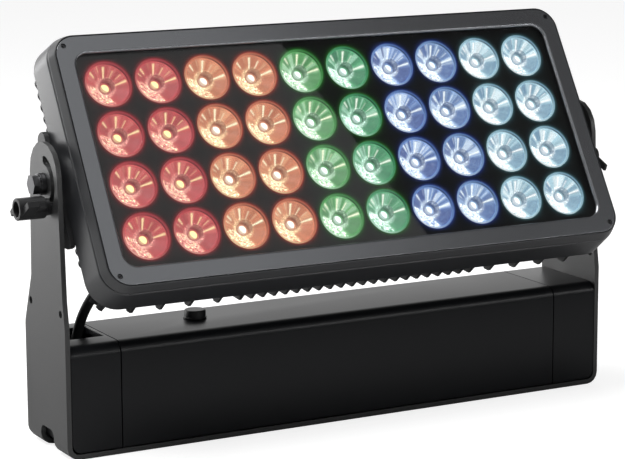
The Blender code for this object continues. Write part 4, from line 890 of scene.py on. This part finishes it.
def lit_look(name, glow, roughness, honey, alpha=1.0, sparkle=0.35):
    """Acrylic that glows in the colours stored on it, with fine noise and honeycomb cells.

    Emission = stored colour times (1 - sparkle / 2 + sparkle times noise) times
    (1 - honey times the cell's edge), times 1 + 2.6 times the stored alpha at the
    brightest noise, plus a fifth of that alpha in white; these bright spots are painted glints.
    """
    made, shader = new_material(name, (0.01, 0.01, 0.01), roughness)
    shader.inputs["Specular IOR Level"].default_value = 0.25
    tree = made.node_tree
    stored = linked(tree, "ShaderNodeAttribute", attribute_name="lit")
    plan = linked(tree, "ShaderNodeUVMap", uv_map="plan")
    cells = tree.nodes.new("ShaderNodeGroup")
    cells.node_tree = honeycomb
    tree.links.new(plan.outputs["UV"], cells.inputs["Plan"])
    edge = linked(
        tree, "ShaderNodeMapRange",
        {"Value": cells.outputs["Cell"], "From Min": 0.30, "From Max": 0.52, "To Min": 1.0,
         "To Max": 1.0 - honey},
    )
    noise = linked(
        tree, "ShaderNodeTexNoise",
        {"Vector": plan.outputs["UV"], "Scale": 55.0, "Detail": 3.0, "Roughness": 0.7},
    )
    level = linked(
        tree, "ShaderNodeMapRange",
        {"Value": noise.outputs[0], "From Min": 0.3, "From Max": 0.7, "To Min": 1 - sparkle / 2,
         "To Max": 1 + sparkle / 2},
    )
    both = linked(tree, "ShaderNodeMath", {0: edge.outputs[0], 1: level.outputs[0]}, operation="MULTIPLY")
    colour = linked(
        tree, "ShaderNodeVectorMath", {0: stored.outputs["Color"], "Scale": both.outputs[0]},
        operation="SCALE",
    )
    # Painted glints: white spots where the noise peaks, scaled by the stored alpha.
    glints = linked(
        tree, "ShaderNodeTexNoise",
        {"Vector": plan.outputs["UV"], "Scale": 24.0, "Detail": 4.0, "Roughness": 0.8},
    )
    glint = linked(
        tree, "ShaderNodeMapRange",
        {"Value": glints.outputs[0], "From Min": 0.53, "From Max": 0.60, "To Min": 0.0, "To Max": 1.0},
    )
    strength = linked(
        tree, "ShaderNodeMath", {0: glint.outputs[0], 1: stored.outputs["Alpha"]}, operation="MULTIPLY"
    )
    lifted = linked(
        tree, "ShaderNodeMath", {0: strength.outputs[0], 1: 2.6, 2: 1.0}, operation="MULTIPLY_ADD"
    )
    white = linked(
        tree, "ShaderNodeVectorMath", {0: (0.22, 0.20, 0.19), "Scale": strength.outputs[0]},
        operation="SCALE",
    )
    shining = linked(
        tree, "ShaderNodeVectorMath",
        {0: colour.outputs[0], 1: lifted.outputs[0], 2: white.outputs[0]}, operation="MULTIPLY_ADD",
    )
    tree.links.new(shining.outputs[0], shader.inputs["Emission Color"])
    relief = linked(
        tree, "ShaderNodeBump", {"Height": cells.outputs["Cell"], "Strength": 0.3, "Distance": 0.0003}
    )
    tree.links.new(relief.outputs["Normal"], shader.inputs["Normal"])
    shader.inputs["Emission Strength"].default_value = glow
    shader.inputs["Alpha"].default_value = alpha
    return made


cone_look = lit_look("lens_cone", 1.5, 0.35, 0.22, sparkle=0.7)
rim_look = lit_look("lens_rim", 1.0, 0.2, 0.0, sparkle=0.5)
face_look = lit_look("lens_face", 1.0, 0.15, 0.7, alpha=0.10, sparkle=1.0)
well_look = lit_look("lens_well", 1.0, 0.15, 0.0, alpha=0.38, sparkle=0.3)
emitter_look = lit_look("lit_emitter", 1.5, 0.3, 0.0, sparkle=0.1)
FACE_RING = [(17.3, 33.1), (12.0, 32.75), (6.4, 32.6), (6.1, 32.9), (5.75, 32.9), (5.55, 32.5), (5.2, 28.6),
             (4.9, 25.6), (5.2, 25.6), (5.6, 28.6), (5.95, 32.2), (12.0, 32.4), (17.2, 32.8)]
# For each ring how far it takes the well wall's painted shade in colour, and whether it takes the well's
# look.
FACE_WALL = np.array([0, 0, 0, 0.6, 0.6, 1, 1, 1, 1, 1, 0.6, 0, 0])
FACE_ZONE = [0] * 4 + [1] * 6 + [0] * 3


def lens_column(column):
    """One column of four lenses: shell, cone and emitter in one closed body, and its face."""
    centres = LENS_CENTRES[4 * column : 4 * column + 4]
    tints, shares = COLUMN_TINTS[column], (PAINTED_LIGHT_SHARE[column], PAINTED_SHADE_SHARE[column], PAINTED_RAY_SHARE[column])
    share = np.linspace(0, 1, CONE_RINGS + 1)[1:]
    cone_r = LENS_SHELL[-1][0] + (CONE_FOOT[0] - LENS_SHELL[-1][0]) * share
    cone_z = LENS_SHELL[-1][1] + (CONE_FOOT[1] - LENS_SHELL[-1][1]) * share**CONE_CURVE
    profile = LENS_SHELL + list(zip(cone_r, cone_z)) + EMITTER
    shell_rings = len(LENS_SHELL)
    angle = np.linspace(0, 360, LENS_ANGLES, endpoint=False)[None, :]
    colours = []
    for row in range(4):
        random = np.random.default_rng(100 + 4 * column + row)
        smooth = screen_to_linear(tints[0])
        body = np.broadcast_to(0.5 * smooth, (shell_rings, LENS_ANGLES, 3)).copy()
        rim = rim_light(angle, tints)
        body[4:8] = rim * 0.8
        # Painted shade at the upper right of the rings inside the rim.
        painted_groove_shade = 0.85 * bump(angle, 40, 60)[..., None]
        body[8:10] = smooth * 0.9 * (1 - painted_groove_shade) + screen_to_linear(tints[2]) * 0.15 * painted_groove_shade
        cone = cone_light(angle, share[:, None], tints, shares, random)
        foot = np.broadcast_to(screen_to_linear(tints[4]), (len(EMITTER), LENS_ANGLES, 3)).copy()
        foot[:1] = smooth * 0.5
        foot[1:2] = smooth * 0.6 + 0.2 * screen_to_linear(tints[4])
        body, foot = (np.pad(part, ((0, 0), (0, 0), (0, 1))) for part in (body, foot))
        colours.append(np.concatenate([body, cone, foot]).reshape(-1, 4))
    zone = [1] * (shell_rings - 1) + [0] * CONE_RINGS + [2] * len(EMITTER)
    number = column + 1
    mesh = revolved_mesh(
        f"lens_column_{number}_lit", centres, profile, LENS_ANGLES, np.concatenate(colours),
        [cone_look, rim_look, emitter_look], zone,
    )
    head_piece(f"lens_column_{number}_lit", mesh, f"lens_column_{number}")
    # The face takes painted light at the lower left, and the well wall a painted shade.
    light, deep = screen_to_linear(tints[1]), screen_to_linear(tints[2])
    wall = FACE_WALL[:, None, None]
    shade = 0.5 + 0.5 * bump(angle, 225, 80)[..., None]
    face = (light * (1 - wall) + 1.1 * deep * wall) * shade
    face = np.broadcast_to(face, (len(FACE_RING), LENS_ANGLES, 3)).reshape(-1, 3)
    face = np.tile(np.pad(face, ((0, 0), (0, 1))), (4, 1))
    mesh = revolved_mesh(
        f"lens_face_{number}", centres, FACE_RING, LENS_ANGLES, face, [face_look, well_look], FACE_ZONE,
        ring_closed=True,
    )
    head_piece(f"lens_face_{number}", mesh, f"lens_column_{number}")


for column in range(10):
    lens_column(column)
dressed("led_board", grained("led_board_white", (0.62, 0.62, 0.60), 0.45, 400.0, 0.1), 0.0)


# Heat sink
# Three black anodised castings behind the tub, with upright fins in the middle.

anodised = grained("cast_aluminium", (0.020, 0.021, 0.023), 0.42, 600.0, 0.25, specular=0.4)
for node in ("heat_sink_left", "heat_sink_middle", "heat_sink_right"):
    dressed(node, anodised, 0.25 * MM, 1)


# Tilt cable
# A round rubber lead from the head's gland into the gland in the case's well. It runs straight
# out of each gland and curves between them, as one fixed tube on no body.

SHEATH_RADIUS = 4.0 * MM
GLAND_LENGTH = 11.3 * MM
STRAIGHT_LENGTH = 17 * MM
LEAVING_PULL = 0.62
ENTERING_PULL = 0.27
HEAD_SEAT = head_space([-213.0, -82.0, 3.9])
HEAD_OUT = head_space([-213.0, -82.0, 2.9]) - HEAD_SEAT
HEAD_OUT /= np.linalg.norm(HEAD_OUT)
CASE_SEAT = np.array([-218.0, 8.0, 43.3]) * MM
UP = np.array([0.0, 0.0, 1.0])


def bent_route(count):
    """Straight out of each gland, and a cubic Bezier curve between the straight ends.

    The pulls along the two glands' directions are shares of the distance between them.
    """
    start, end = HEAD_SEAT + HEAD_OUT * STRAIGHT_LENGTH, CASE_SEAT + UP * STRAIGHT_LENGTH
    span = np.linalg.norm(end - start)
    leaving, entering = start + HEAD_OUT * span * LEAVING_PULL, end + UP * span * ENTERING_PULL
    t = np.linspace(0, 1, count)[:, None]
    curve = (
        (1 - t) ** 3 * start
        + 3 * (1 - t) ** 2 * t * leaving
        + 3 * (1 - t) * t**2 * entering
        + t**3 * end
    )
    first, last = HEAD_SEAT + HEAD_OUT * GLAND_LENGTH, CASE_SEAT + UP * GLAND_LENGTH
    return np.vstack([first, curve, last])


def tube_grid(route, radius, steps=24):
    """Circle carried along a route: radius times (cos a, sin a) across two normals.

    The first normal is the x axis made square to the tangent; the second is their
    cross product.
    """
    tangent = np.gradient(route, axis=0)
    tangent /= np.linalg.norm(tangent, axis=1, keepdims=True)
    across = np.array([1.0, 0, 0]) - tangent[:, :1] * tangent
    across /= np.linalg.norm(across, axis=1, keepdims=True)
    other = np.cross(tangent, across)
    angle = np.linspace(0, 2 * math.pi, steps, endpoint=False)[None, :, None]
    return route[:, None] + radius * (across[:, None] * np.cos(angle) + other[:, None] * np.sin(angle))


CABLE = bent_route(60)
cable_mesh = outward(skin("tilt_cable_sheath", tube_grid(CABLE, SHEATH_RADIUS), caps=True, look=rubber))
cable = mesh_object("tilt_cable_sheath", cable_mesh)
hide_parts("tilt_cable")
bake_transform(cable)
